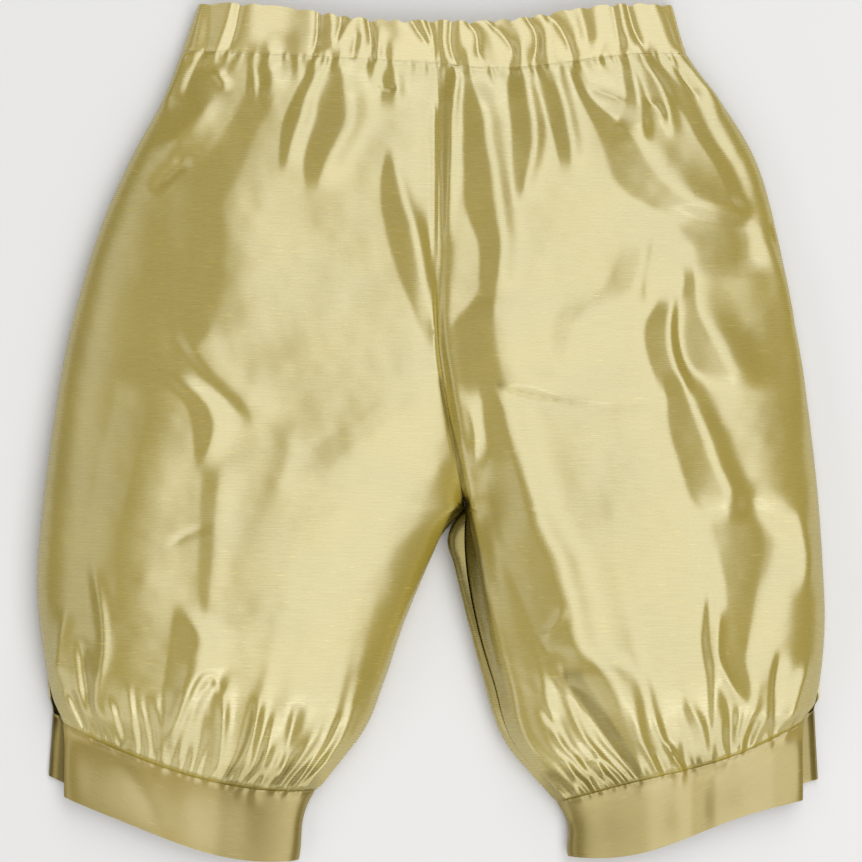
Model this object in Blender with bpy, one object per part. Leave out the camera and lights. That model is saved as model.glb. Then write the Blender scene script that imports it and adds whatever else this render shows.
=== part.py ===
"""Knee breeches in gold silk dupion, laid flat on a table with the front up.

The cloth is one puffed tube that forks at the crotch. Every point of it comes from one rule,
a ring through the garment at a station between the waist and the hem, so panels that are sewn
together meet along the same line. Sizes are in millimetres until a mesh is made, x runs to the
right across the garment as it lies, y runs from the hems up to the waist, and z stands off the
table. Left and right are those of somebody looking down at it.
"""

from collections import namedtuple

import bmesh
import bpy
import numpy as np

MM = 0.001
MIDPOINT = (-1.05, 0.2, 0.0)   # middle of the garment's footprint, moved to the origin

# Driving sizes.
CLOTH = 1.0            # wall of the dupion panels
BAND = 1.8             # wall of the folded knee band
CASING = 2.0           # wall of the elastic casing
SEAM_GAP = 0.3         # between two pieces at a seam
SIDES = {"left": -1, "right": 1}

# Stations down the garment.
WAIST_TOP, WAIST_SEAM, CROTCH, KNEE_SEAM, HEM = -0.075, 0.0, 0.72, 1.0, 1.09
WAIST_TO_KNEE = 330.0  # length of cloth between the two seams, which turns stations into lengths
SLIT_START = 0.93      # station where the side slit above the knee band opens
SLIT_ANGLE = 14.0      # how far round the ring each slit edge stands from the side seam, in degrees

# Waves in the gathers of one panel, and how high they stand.
WAIST_WAVES = {"front": 12, "back": 8}
KNEE_WAVES = {"front": 15, "back": 8}
WAIST_RUFFLE, KNEE_RUFFLE = 1.5, 1.3
CASING_SHARE = 0.75    # height of a ruffle at the waist seam, against that at the casing's top
CASING_RISE = 8.0      # length in which it grows to the full height
WAIST_FADE, KNEE_FADE = 34.0, 26.0   # length in which a gather dies away from its seam
FADE_POWER = 1.5
KNEE_LAP = 0.008       # stations in which the gathers flatten under the knee band's seam

# Unevenness of the gathers: waves that shift the crests sideways, and one that varies their height.
Ripple = namedtuple("Ripple", "size turns shift")
CREST_DRIFT = (Ripple(0.30, 1.7, 0.37), Ripple(0.22, 3.1, 0.61))
CREST_DEPTH = Ripple(0.26, 2.3, 0.19)
GATHER_END = 0.03      # share of a panel in which gathers die out beside a seam
FOLD_END = 0.06        # the same for the large folds

# Grids of the solids.
COLUMNS = {"front": 60, "back": 32}
LEG_STATIONS = (0.72, 0.735, 0.755, 0.81, 0.87, 0.92, 0.96, 1.0)
HIP_STATIONS = {
    "front": (0.0, 0.03, 0.07, 0.13, 0.21, 0.31, 0.42, 0.53, 0.63),
    "back": (0.0, 0.05, 0.2, 0.42, 0.63),
}
WAISTBAND_STATIONS = (-0.075, -0.035, 0.0)
KNEE_BAND_STATIONS = (1.0, 1.045, 1.09)
RING_SAMPLES = 361
SHARP_ANGLE = 50.0

# Ring at a station: height of the puffed front, heights of the side seam and of the inner edge,
# and squareness of the top. The under side is squarer, and presses on the table.
Ring = namedtuple("Ring", "t rise edge inner square")
RINGS = [
    Ring(-0.075, 14.0, 5.5, 5.5, 9.0),
    Ring(0.00, 14.5, 5.5, 5.5, 9.0),
    Ring(0.08, 20.0, 6.5, 6.5, 5.5),
    Ring(0.20, 27.0, 8.0, 8.0, 3.8),
    Ring(0.34, 31.0, 9.0, 9.0, 3.2),
    Ring(0.48, 34.0, 10.0, 11.0, 3.0),
    Ring(0.62, 36.0, 10.0, 12.0, 2.8),
    Ring(0.72, 37.0, 10.0, 12.5, 2.8),
    Ring(0.84, 37.0, 10.0, 11.0, 2.8),
    Ring(0.90, 34.0, 9.0, 10.0, 3.0),
    Ring(0.95, 26.0, 7.0, 8.0, 4.5),
    Ring(1.00, 13.0, 5.0, 5.0, 12.0),
    Ring(1.09, 11.5, 4.8, 4.8, 12.0),
]
UNDER_SQUARE = 16.0
UNDER_PRESS = 1.15

# Centre front and centre back seam: place, how far round the ring it lies in degrees, and how
# far the front one sinks into its groove.
Middle = namedtuple("Middle", "t x y angle drop")
MIDDLE = [
    Middle(-0.075, 2.2, 198.0, 91.0, 0.4),
    Middle(0.00, 2.2, 177.4, 91.0, 0.6),
    Middle(0.08, 2.6, 157.2, 92.0, 1.6),
    Middle(0.20, 2.4, 128.4, 94.0, 2.0),
    Middle(0.34, 2.2, 87.6, 98.0, 2.0),
    Middle(0.48, 2.6, 44.4, 106.0, 2.4),
    Middle(0.62, 9.0, 1.2, 128.0, 3.0),
    Middle(0.72, 15.1, -36.2, 180.0, 0.0),
]
GROOVE = {"left": 7.0, "right": 5.0}   # half width of the seam's groove on each side of it

# Side seam, with the bend of the line across the panel: bow sags it, sway shifts the sag to the middle.
Side = namedtuple("Side", "t x y bow sway")
SIDE_SEAM = {
    "left": [
        Side(-0.075, -112.8, 206.0, 0.0, 1.6),
        Side(0.00, -120.8, 183.6, 0.0, 0.0),
        Side(0.08, -128.4, 163.2, 0.0, 0.0),
        Side(0.20, -144.0, 134.0, 0.0, 0.0),
        Side(0.34, -160.0, 97.2, 0.0, 0.0),
        Side(0.48, -174.0, 49.2, 0.0, 0.0),
        Side(0.62, -182.6, 1.2, 0.0, 0.0),
        Side(0.72, -187.4, -37.2, 0.0, 0.0),
        Side(0.78, -189.6, -61.2, 0.5, 0.0),
        Side(0.84, -189.4, -85.2, 1.5, 0.0),
        Side(0.90, -186.2, -109.2, 3.5, 0.0),
        Side(0.95, -183.2, -125.6, 6.0, 0.2),
        Side(1.00, -179.6, -138.4, 8.9, 0.5),
        Side(1.09, -179.0, -174.0, 7.4, 1.6),
    ],
    "right": [
        Side(-0.075, 115.0, 205.6, 0.0, 1.9),
        Side(0.00, 122.2, 182.2, 2.2, 2.0),
        Side(0.08, 136.4, 162.0, 1.0, 1.0),
        Side(0.20, 154.4, 132.2, 0.0, 0.0),
        Side(0.34, 165.8, 92.4, 0.0, 0.0),
        Side(0.48, 173.6, 49.2, 0.0, 0.0),
        Side(0.62, 181.0, 3.6, 0.0, 0.0),
        Side(0.72, 185.2, -36.2, 0.0, 0.0),
        Side(0.78, 187.0, -63.6, 0.5, 0.0),
        Side(0.84, 188.0, -90.0, 1.0, 0.0),
        Side(0.90, 186.4, -114.0, 2.0, -0.4),
        Side(0.95, 184.0, -128.4, 3.4, -1.0),
        Side(1.00, 180.2, -137.0, 4.8, -1.7),
        Side(1.09, 179.4, -176.0, 4.4, 2.9),
    ],
}

# Inseam below the crotch: place, how far the back panel shows past it, how far the seam sinks
# below the plain ring, and how far from it the front panel's soft edge stands (0 for none).
Inseam = namedtuple("Inseam", "t x y tuck drop lip")
INSEAM = {
    "left": [
        Inseam(0.72, 15.1, -36.2, 0.0, 0.0, 0.0),
        Inseam(0.745, 5.6, -46.8, 0.0, 0.0, 0.0),
        Inseam(0.78, -1.2, -60.2, 0.0, 0.0, 0.0),
        Inseam(0.84, -13.7, -90.0, 0.0, 0.0, 0.0),
        Inseam(0.90, -23.3, -118.8, 0.0, 0.0, 0.0),
        Inseam(0.95, -33.8, -143.8, 0.0, 0.0, 0.0),
        Inseam(1.00, -56.4, -171.6, 0.0, 0.0, 0.0),
        Inseam(1.09, -64.6, -205.2, 0.0, 0.0, 0.0),
    ],
    "right": [
        Inseam(0.72, 15.1, -36.2, 0.0, 0.0, 3.4),
        Inseam(0.735, 14.9, -43.0, 5.0, 6.0, 4.4),
        Inseam(0.75, 14.9, -50.0, 7.6, 9.0, 5.4),
        Inseam(0.78, 15.6, -63.6, 5.5, 8.0, 6.6),
        Inseam(0.84, 20.6, -92.4, 3.6, 6.0, 8.6),
        Inseam(0.90, 28.1, -118.8, 3.9, 5.0, 8.2),
        Inseam(0.95, 37.7, -147.6, 3.1, 3.0, 6.6),
        Inseam(1.00, 62.4, -176.6, 3.4, 1.0, 4.0),
        Inseam(1.09, 65.4, -203.4, 0.6, 0.0, 3.0),
    ],
}
SINK_WIDTH = 9.0       # half width of the valley along a sunk inseam
LIP_WIDTH, LIP_HEIGHT = 3.6, 1.8

# Knee band's under end, which shows past the upper end: how far out and up it lies.
Flap = namedtuple("Flap", "t out up")
FLAP = [
    Flap(-0.075, 0.0, 0.0),
    Flap(0.80, 0.0, 0.0),
    Flap(0.93, 0.6, 0.8),
    Flap(1.00, 5.6, 4.5),
    Flap(1.09, 8.0, 9.5),
]
FLAP_FROM = 0.45       # share of the panel where the under end starts to slide out

# Largest folds of the front: a soft ridge, or a trough where the height is below zero.
Fold = namedtuple("Fold", "x0 y0 x1 y1 half_width height")
FOLDS = [
    Fold(-58.0, 172.0, -72.0, 132.0, 4.5, -3.4),
    Fold(-50.0, 172.0, -66.0, 118.0, 4.0, 2.2),
    Fold(-43.0, 168.0, -56.0, 112.0, 5.5, -2.6),
    Fold(-66.0, 176.0, -160.0, 84.0, 9.0, 2.4),
    Fold(-104.0, 150.0, -96.0, 66.0, 13.0, -2.4),
    Fold(-134.0, 42.0, -84.0, 4.0, 7.0, 2.2),
    Fold(-24.0, 136.0, -6.0, 40.0, 8.0, -2.6),
    Fold(-146.0, 20.0, -152.0, -96.0, 12.0, -2.6),
    Fold(-74.0, -90.0, -92.0, -148.0, 7.0, -2.8),
    Fold(10.0, 166.0, 11.0, 78.0, 3.6, 2.2),
    Fold(20.0, 160.0, 27.0, 62.0, 6.0, -3.0),
    Fold(43.0, 156.0, 42.0, 90.0, 6.5, -3.0),
    Fold(58.0, 160.0, 68.0, 104.0, 5.0, -2.6),
    Fold(76.0, 150.0, 146.0, 98.0, 9.0, -3.0),
    Fold(98.0, 160.0, 140.0, 112.0, 9.0, 2.8),
    Fold(26.0, 40.0, 42.0, -72.0, 12.0, -2.8),
    Fold(112.0, 66.0, 134.0, -40.0, 10.0, -2.6),
    Fold(150.0, 60.0, 148.0, -96.0, 12.0, -2.4),
    Fold(54.0, -108.0, 96.0, -156.0, 9.0, -3.2),
    Fold(132.0, -92.0, 132.0, -152.0, 5.0, 2.2),
]
FOLDS_FROM = 0.05      # stations below the waist seam in which the folds reach their height
FOLDS_TO = 0.04        # the same above the knee seam


def along(rows, column, t):
    """Value of a table's column at station t, on a smooth curve through the rows."""
    knots = np.array([row.t for row in rows])
    values = np.array([getattr(row, column) for row in rows])
    slopes = np.gradient(values, knots)
    t = np.clip(t, knots[0], knots[-1])
    i = np.clip(np.searchsorted(knots, t, side="right") - 1, 0, len(knots) - 2)
    span = knots[i + 1] - knots[i]
    u = (t - knots[i]) / span
    return (
        values[i] * (1 + 2 * u) * (1 - u) ** 2
        + values[i + 1] * u * u * (3 - 2 * u)
        + slopes[i] * span * u * (1 - u) ** 2
        - slopes[i + 1] * span * u * u * (1 - u)
    )


def ease(value, low, high):
    """Runs from 0 at low to 1 at high, with a soft start and stop."""
    u = np.clip((value - low) / (high - low), 0.0, 1.0)
    return u * u * (3 - 2 * u)


def inner_rows(side, t):
    """Table of the centre seam above the crotch, or of the inseam below it."""
    return MIDDLE if t <= CROTCH else INSEAM[side]


def seam_angle(side, t, width):
    """How far round the ring the inner seam lies from the side seam, in radians."""
    if t <= CROTCH:
        return np.radians(along(MIDDLE, "angle", t))
    tuck = max(0.0, float(along(INSEAM[side], "tuck", t)))
    return np.arccos((tuck - width) / (tuck + width))


def seam_sink(side, t, reach, angle, inner):
    """How far the ring's top sinks towards the inner seam."""
    drop = along(inner_rows(side, t), "drop", t)
    half_width = GROOVE[side] if t <= CROTCH else SINK_WIDTH
    towards_front = np.exp(-((reach / half_width) ** 2))
    towards_back = 1 - (angle - inner) / max(np.pi - inner, 1e-6)
    return drop * np.where(angle <= inner, towards_front, np.clip(towards_back, 0.0, 1.0))


def front_lip(side, t, reach):
    """Height of the soft edge in which the right front panel rolls over its inner seam."""
    if side == "left":
        return np.zeros(len(reach))
    shown = ease(t, 0.3, 0.6) * ease(KNEE_SEAM - t, 0.0, 0.05)
    place = along(INSEAM[side], "lip", max(t, CROTCH))
    return shown * LIP_HEIGHT * np.exp(-(((reach - place) / LIP_WIDTH) ** 2))


def ring_points(side, face, t, shares):
    """Points of one panel's ring at station t, at shares of its arc from the inner seam out.

    Gives the places and the directions that point out of the garment.
    """
    rows = inner_rows(side, t)
    seam = np.array([along(rows, "x", t), along(rows, "y", t)])
    outer = np.array([along(SIDE_SEAM[side], "x", t), along(SIDE_SEAM[side], "y", t)])
    width = np.linalg.norm(outer - seam)
    across = (outer - seam) / width
    inner = seam_angle(side, t, width)
    slit = np.radians(SLIT_ANGLE) * ease(t, SLIT_START, KNEE_SEAM)
    if face == "front":
        angle = np.linspace(inner, slit, RING_SAMPLES)
    else:
        start = 2 * np.pi - inner if t <= CROTCH else inner
        angle = np.linspace(start, 2 * np.pi - slit, RING_SAMPLES)
    half = width / (1 - np.cos(inner))
    reach = width - half + half * np.cos(angle)
    rise, square = along(RINGS, "rise", t), along(RINGS, "square", t)
    inward = (1 - np.cos(angle)) / 2
    edge = along(RINGS, "edge", t) * (1 - inward) + along(RINGS, "inner", t) * inward
    over = edge + (rise - edge) * np.sqrt(1 - np.abs(np.cos(angle)) ** square)
    over -= seam_sink(side, t, reach, angle, inner)
    if face == "front":
        over += front_lip(side, t, reach) * ease(reach, 0.0, LIP_WIDTH)
    under = edge - UNDER_PRESS * edge * np.sqrt(1 - np.abs(np.cos(angle)) ** UNDER_SQUARE)
    height = np.where(angle <= np.pi, over, np.maximum(under, 0.0))

    steps = np.hypot(np.diff(reach), np.diff(height))
    length = np.concatenate([[0.0], np.cumsum(steps)])
    wanted = SEAM_GAP / 2 + shares * (length[-1] - SEAM_GAP)
    out, up = (np.interp(wanted, length, part) for part in outward(reach, height, face))
    reach = np.interp(wanted, length, reach)
    height = np.interp(wanted, length, height)

    share = np.clip(reach / width, 0.0, 1.0)
    bow, sway = along(SIDE_SEAM[side], "bow", t), along(SIDE_SEAM[side], "sway", t)
    places = np.empty((len(shares), 3))
    places[:, 0] = seam[0] + across[0] * reach
    places[:, 1] = seam[1] + across[1] * reach
    places[:, 1] -= bow * 4 * share * (1 - share) + sway * np.sin(2 * np.pi * share)
    places[:, 2] = height
    if face == "back":
        shown = ease(share, FLAP_FROM, 1.0)
        places[:, 0] += SIDES[side] * along(FLAP, "out", t) * shown
        places[:, 1] += along(FLAP, "up", t) * shown
    outwards = np.stack([out * across[0], out * across[1], up], axis=1)
    return places, outwards


def outward(reach, height, face):
    """Unit directions across a ring, pointing out of the garment, as (sideways, up)."""
    along_reach, along_height = np.gradient(reach), np.gradient(height)
    size = np.hypot(along_reach, along_height)
    turn = 1.0 if face == "front" else -1.0
    return -turn * along_height / size, turn * along_reach / size


def ripple(shares, wave_row, seed):
    """One slow wave across a panel."""
    return wave_row.size * np.sin(2 * np.pi * (wave_row.turns * shares + wave_row.shift * seed))


def wave(shares, count, seed):
    """An uneven wave with count crests between the seams, dying out at both."""
    drift = sum(ripple(shares, row, seed) for row in CREST_DRIFT)
    depth = 1 - CREST_DEPTH.size + ripple(shares, CREST_DEPTH, seed)
    ends = ease(shares, 0.0, GATHER_END) * ease(1 - shares, 0.0, GATHER_END)
    return depth * ends * np.cos(2 * np.pi * (count * shares + drift))


def gathers(side, face, t, shares):
    """How far the gathers move the cloth at station t."""
    seed = SIDES[side] + (4 if face == "back" else 1)
    below = (t - WAIST_SEAM) * WAIST_TO_KNEE
    above = (KNEE_SEAM - t) * WAIST_TO_KNEE
    if below < 0:
        near_waist = CASING_SHARE + (1 - CASING_SHARE) * ease(-below, 0.0, CASING_RISE)
    else:
        near_waist = CASING_SHARE * np.exp(-((below / WAIST_FADE) ** FADE_POWER))
    near_knee = np.exp(-((max(above, 0.0) / KNEE_FADE) ** FADE_POWER))
    near_knee *= 1.0 - ease(t, KNEE_SEAM - KNEE_LAP, KNEE_SEAM)
    ruffle = WAIST_RUFFLE * near_waist * wave(shares, WAIST_WAVES[face], seed)
    return ruffle + KNEE_RUFFLE * near_knee * wave(shares, KNEE_WAVES[face], -seed)


def folds_at(places):
    """How far the large folds move the front at these places."""
    moved = np.zeros(len(places))
    for fold in FOLDS:
        start = np.array([fold.x0, fold.y0])
        run = np.array([fold.x1, fold.y1]) - start
        share = np.clip((places[:, :2] - start) @ run / (run @ run), 0.0, 1.0)
        away = np.linalg.norm(places[:, :2] - start - share[:, None] * run, axis=1)
        moved += fold.height * np.sin(np.pi * share) * np.exp(-((away / fold.half_width) ** 2))
    return moved


def panel_rows(side, face, stations, wall):
    """Outer and inner points of a panel, a row for each station."""
    shares = np.linspace(0.0, 1.0, COLUMNS[face] + 1)
    near_seam = ease(shares, 0.0, FOLD_END) * ease(1 - shares, 0.0, FOLD_END)
    outer, inner = [], []
    for t in stations:
        places, outwards = ring_points(side, face, t, shares)
        shift = gathers(side, face, t, shares)
        if face == "front":
            between = ease(t, WAIST_SEAM, FOLDS_FROM) * ease(KNEE_SEAM - t, 0.0, FOLDS_TO)
            shift = shift + folds_at(places) * near_seam * between
        else:
            shift = -np.abs(shift)
        outer.append(places + outwards * shift[:, None])
        inner.append(places + outwards * (shift - wall)[:, None])
    return np.array(outer), np.array(inner)


def trimmed(first, last):
    """First and last station, each drawn back by half a seam gap."""
    trim = SEAM_GAP / 2 / WAIST_TO_KNEE
    return first + trim, last - trim


def material(name, colour, roughness):
    """A plain dupion finish with a little of the silk's metal look."""
    finish = bpy.data.materials.new(name)
    finish.use_nodes = True
    shader = finish.node_tree.nodes["Principled BSDF"]
    shader.inputs["Base Color"].default_value = (*colour, 1.0)
    shader.inputs["Roughness"].default_value = roughness
    shader.inputs["Metallic"].default_value = 0.35
    return finish


def cloth_wall(name, outer, inner, finish):
    """One closed wall of cloth between two grids of points in millimetres."""
    rows, columns = outer.shape[:2]
    mesh = bmesh.new()
    bmesh.ops.create_grid(mesh, x_segments=columns - 1, y_segments=rows - 1, size=0.5)
    made = bmesh.ops.extrude_face_region(mesh, geom=mesh.faces[:])
    lifted = {item for item in made["geom"] if isinstance(item, bmesh.types.BMVert)}
    for vertex in mesh.verts:
        column = round((vertex.co.x + 0.5) * (columns - 1))
        row = round((vertex.co.y + 0.5) * (rows - 1))
        place = (inner if vertex in lifted else outer)[row, column]
        vertex.co = (place - MIDPOINT) * MM
    bmesh.ops.recalc_face_normals(mesh, faces=mesh.faces[:])
    if mesh.calc_volume(signed=True) < 0:
        bmesh.ops.reverse_faces(mesh, faces=mesh.faces[:])
    data = bpy.data.meshes.new(name)
    mesh.to_mesh(data)
    mesh.free()
    data.shade_smooth()
    data.set_sharp_from_angle(angle=np.radians(SHARP_ANGLE))
    data.materials.append(finish)
    bpy.context.scene.collection.objects.link(bpy.data.objects.new(name, data))


def panel(side, face, finish):
    """A trouser panel between the waist seam and the knee band."""
    first, last = trimmed(WAIST_SEAM, KNEE_SEAM)
    stations = [min(max(t, first), last) for t in HIP_STATIONS[face] + LEG_STATIONS]
    outer, inner = panel_rows(side, face, stations, CLOTH)
    cloth_wall(f"{face}_{side}", outer, inner, finish)


def waistband(face, finish):
    """Half of the gathered elastic casing, from side seam to side seam."""
    last = trimmed(WAIST_TOP, WAIST_SEAM)[1]
    stations = [min(t, last) for t in WAISTBAND_STATIONS]
    left = panel_rows("left", face, stations, CASING)
    right = panel_rows("right", face, stations, CASING)
    outer, inner = (
        np.concatenate([a[:, ::-1], b[:, 1:]], axis=1) for a, b in zip(left, right)
    )
    cloth_wall(f"waistband_{face}", outer, inner, finish)


def knee_band(side, finish):
    """A folded band round the knee, open at the side slit, its under end past its upper one."""
    first = trimmed(KNEE_SEAM, HEM)[0]
    stations = [max(t, first) for t in KNEE_BAND_STATIONS]
    front = panel_rows(side, "front", stations, BAND)
    back = panel_rows(side, "back", stations, BAND)
    outer, inner = (
        np.concatenate([a[:, ::-1], b[:, 1:]], axis=1)[:, ::2] for a, b in zip(front, back)
    )
    cloth_wall(f"knee_band_{side}", outer, inner, finish)


def main():
    for thing in list(bpy.data.objects):
        bpy.data.objects.remove(thing)
    dupion = material("gold_dupion", (0.62, 0.52, 0.22), 0.42)
    casing = material("casing_dupion", (0.64, 0.54, 0.24), 0.42)
    band = material("band_dupion", (0.58, 0.48, 0.20), 0.45)
    for side in SIDES:
        for face in ("front", "back"):
            panel(side, face, dupion)
        knee_band(side, band)
    for face in ("front", "back"):
        waistband(face, casing)


main()
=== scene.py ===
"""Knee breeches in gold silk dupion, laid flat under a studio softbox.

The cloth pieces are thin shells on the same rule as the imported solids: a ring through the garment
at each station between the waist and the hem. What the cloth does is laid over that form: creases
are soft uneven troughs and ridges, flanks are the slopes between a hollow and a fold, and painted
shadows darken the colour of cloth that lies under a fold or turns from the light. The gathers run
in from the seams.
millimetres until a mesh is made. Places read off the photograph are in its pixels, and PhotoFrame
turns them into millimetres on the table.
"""

import logging
import math
from dataclasses import dataclass
from enum import Enum
from typing import Sequence

import bmesh
import bpy
import numpy as np
from mathutils import Matrix, Vector


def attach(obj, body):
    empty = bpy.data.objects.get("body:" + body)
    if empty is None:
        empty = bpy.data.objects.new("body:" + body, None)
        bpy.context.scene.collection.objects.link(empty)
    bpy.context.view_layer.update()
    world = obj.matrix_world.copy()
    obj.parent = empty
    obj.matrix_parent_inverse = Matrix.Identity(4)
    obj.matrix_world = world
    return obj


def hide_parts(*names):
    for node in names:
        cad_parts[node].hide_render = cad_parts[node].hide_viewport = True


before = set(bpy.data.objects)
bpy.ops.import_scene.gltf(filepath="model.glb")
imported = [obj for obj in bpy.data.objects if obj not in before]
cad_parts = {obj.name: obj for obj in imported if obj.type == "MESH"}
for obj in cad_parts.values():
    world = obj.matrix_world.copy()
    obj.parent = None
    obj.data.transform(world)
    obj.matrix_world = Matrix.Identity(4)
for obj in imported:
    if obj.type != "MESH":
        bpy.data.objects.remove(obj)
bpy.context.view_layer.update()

LOG = logging.getLogger("breeches")
MM = 0.001             # a millimetre in metres
MIDPOINT = np.array([-1.05, 0.2, 0.0])   # middle of the garment's footprint, moved to the origin

# Walls and seams.
SILK_WALL = 0.7        # shell of a dupion panel
BAND_WALL = 1.6        # folded knee band
CASING_WALL = 1.8      # casing with the elastic in it
SEAM_GAP = 0.06        # between two pieces at a seam
LIFTED = 2.0           # height off the table from which the back's relief is whole

CAMERA_HEIGHT = 1800.0  # camera above the table
CAMERA_FOCUS = 10.0    # height of the cloth at which the photograph's scale holds

# Stations down the garment.
WAIST_TOP, WAIST_SEAM, CROTCH, KNEE_SEAM, HEM = -0.075, 0.0, 0.72, 1.0, 1.09
WAIST_TO_KNEE = 330.0  # length of cloth between the two seams, which turns stations into lengths
ROW_CROWDING = 0.35    # how much closer the rows of a mesh lie at a piece's two ends
SLIT_START = 0.93      # station where the side slit above the knee band opens
SLIT_ANGLE = 14.0      # how far round the ring each slit edge stands from the side seam, in degrees

# Names of the cloth's own coordinates and of the attribute that says how much painted shade darkens
# its colour.
CLOTH_MAP, SHADE = "cloth", "shade"

# Seeds of the random draws: where they start, and how far apart the sides and faces stand.
GATHER_SEED, SIDE_SEEDS = 40, 10
CRUMPLE_SEED, BACK_SEEDS = 7, 20

Places = np.ndarray    # points in a grid, with their three coordinates last
Value = float | bpy.types.NodeSocket   # what a step of a shader group works on


class Side(Enum):
    """Side of the garment as it lies, for somebody who looks down at it."""

    LEFT = -1
    RIGHT = 1

    @property
    def word(self) -> str:
        """Name of the side in the names of nodes and pieces."""
        return self.name.lower()


class Face(Enum):
    """Upper or under half of the puffed tube."""

    FRONT = "front"
    BACK = "back"


@dataclass(frozen=True)
class PhotoFrame:
    """Where the photograph's pixels lie on the table."""

    size: int = 862            # width and height of the photograph in pixels
    middle: float = 432.5      # pixel at the origin of the tables below
    pixel: float = 0.48        # real size of a pixel in millimetres

    def place(self, x: float, y: float) -> tuple[float, float]:
        """Turns a pixel, counted from the left and top edges, into a place on the table."""
        return (x - self.middle) * self.pixel, (self.middle - y) * self.pixel

    def pixels(self, places: np.ndarray) -> tuple[np.ndarray, np.ndarray]:
        """Finds the pixels that show points of the cloth, which looks larger nearer the camera."""
        nearer = (CAMERA_HEIGHT - CAMERA_FOCUS) / (CAMERA_HEIGHT - places[..., 2]) / self.pixel
        return self.middle + places[..., 0] * nearer, self.middle - places[..., 1] * nearer


PHOTO = PhotoFrame()


@dataclass(frozen=True)
class Ring:
    """Section through the garment: heights of the top, side seam and inner edge, and squareness."""

    t: float
    rise: float
    edge: float
    inner: float
    square: float


@dataclass(frozen=True)
class Middle:
    """Centre front and back seam: place, how far round the ring it lies, depth of its groove."""

    t: float
    x: float
    y: float
    angle: float
    drop: float


@dataclass(frozen=True)
class SideSeam:
    """Side seam: place, and the bend of the line across the panel."""

    t: float
    x: float
    y: float
    bow: float = 0.0
    sway: float = 0.0


@dataclass(frozen=True)
class Inseam:
    """Inseam: place, how far the back shows past it, how far it sinks, and where the lip stands."""

    t: float
    x: float
    y: float
    tuck: float = 0.0
    drop: float = 0.0
    lip: float = 0.0


@dataclass(frozen=True)
class Flap:
    """Under end of the knee band: how far out and up it lies."""

    t: float
    out: float
    up: float


RINGS = (
    Ring(-0.075, 14.0, 5.5, 5.5, 9.0),
    Ring(0.00, 14.5, 5.5, 5.5, 9.0),
    Ring(0.08, 20.0, 6.5, 6.5, 5.5),
    Ring(0.20, 27.0, 8.0, 8.0, 3.8),
    Ring(0.34, 31.0, 9.0, 9.0, 3.2),
    Ring(0.48, 34.0, 10.0, 11.0, 3.0),
    Ring(0.62, 36.0, 10.0, 12.0, 2.8),
    Ring(0.72, 37.0, 10.0, 12.5, 2.8),
    Ring(0.84, 37.0, 10.0, 11.0, 2.8),
    Ring(0.90, 34.0, 9.0, 10.0, 3.0),
    Ring(0.95, 26.0, 7.0, 8.0, 4.5),
    Ring(1.00, 13.0, 5.0, 5.0, 12.0),
    Ring(1.09, 11.5, 4.8, 4.8, 12.0),
)
UNDER_SQUARE = 16.0    # squareness of the ring's under half
UNDER_PRESS = 1.15     # how hard the under half is pressed flat on the table

MIDDLE = (
    Middle(-0.075, 2.2, 198.0, 91.0, 0.4),
    Middle(0.00, 2.2, 177.4, 91.0, 0.6),
    Middle(0.08, 2.6, 157.2, 92.0, 1.6),
    Middle(0.20, 2.4, 128.4, 94.0, 2.0),
    Middle(0.34, 2.2, 87.6, 98.0, 2.0),
    Middle(0.48, 2.6, 44.4, 106.0, 2.4),
    Middle(0.62, 9.0, 1.2, 128.0, 3.0),
    Middle(0.72, 15.1, -36.2, 180.0, 0.0),
)
GROOVE = {Side.LEFT: 7.0, Side.RIGHT: 5.0}   # half width of the centre seam's groove on each side

SIDE_SEAMS = {
    Side.LEFT: (
        SideSeam(-0.075, -112.8, 206.0, 0.0, 1.6),
        SideSeam(0.00, -120.8, 183.6),
        SideSeam(0.08, -128.4, 163.2),
        SideSeam(0.20, -144.0, 134.0),
        SideSeam(0.34, -160.0, 97.2),
        SideSeam(0.48, -174.0, 49.2),
        SideSeam(0.62, -182.6, 1.2),
        SideSeam(0.72, -187.4, -37.2),
        SideSeam(0.78, -189.6, -61.2, 0.5, 0.0),
        SideSeam(0.84, -189.4, -85.2, 1.5, 0.0),
        SideSeam(0.90, -186.2, -109.2, 3.5, 0.0),
        SideSeam(0.95, -183.2, -125.6, 6.0, 0.2),
        SideSeam(1.00, -179.6, -138.4, 8.9, 0.5),
        SideSeam(1.09, -179.0, -174.0, 7.4, 1.6),
    ),
    Side.RIGHT: (
        SideSeam(-0.075, 115.0, 205.6, 0.0, 1.9),
        SideSeam(0.00, 122.2, 182.2, 2.2, 2.0),
        SideSeam(0.08, 136.4, 162.0, 1.0, 1.0),
        SideSeam(0.20, 154.4, 132.2),
        SideSeam(0.34, 165.8, 92.4),
        SideSeam(0.48, 173.6, 49.2),
        SideSeam(0.62, 181.0, 3.6),
        SideSeam(0.72, 185.2, -36.2),
        SideSeam(0.78, 187.0, -63.6, 0.5, 0.0),
        SideSeam(0.84, 188.0, -90.0, 1.0, 0.0),
        SideSeam(0.90, 186.4, -114.0, 2.0, -0.4),
        SideSeam(0.95, 184.0, -128.4, 3.4, -1.0),
        SideSeam(1.00, 180.2, -137.0, 4.8, -1.7),
        SideSeam(1.09, 179.4, -176.0, 4.4, 2.9),
    ),
}

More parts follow.
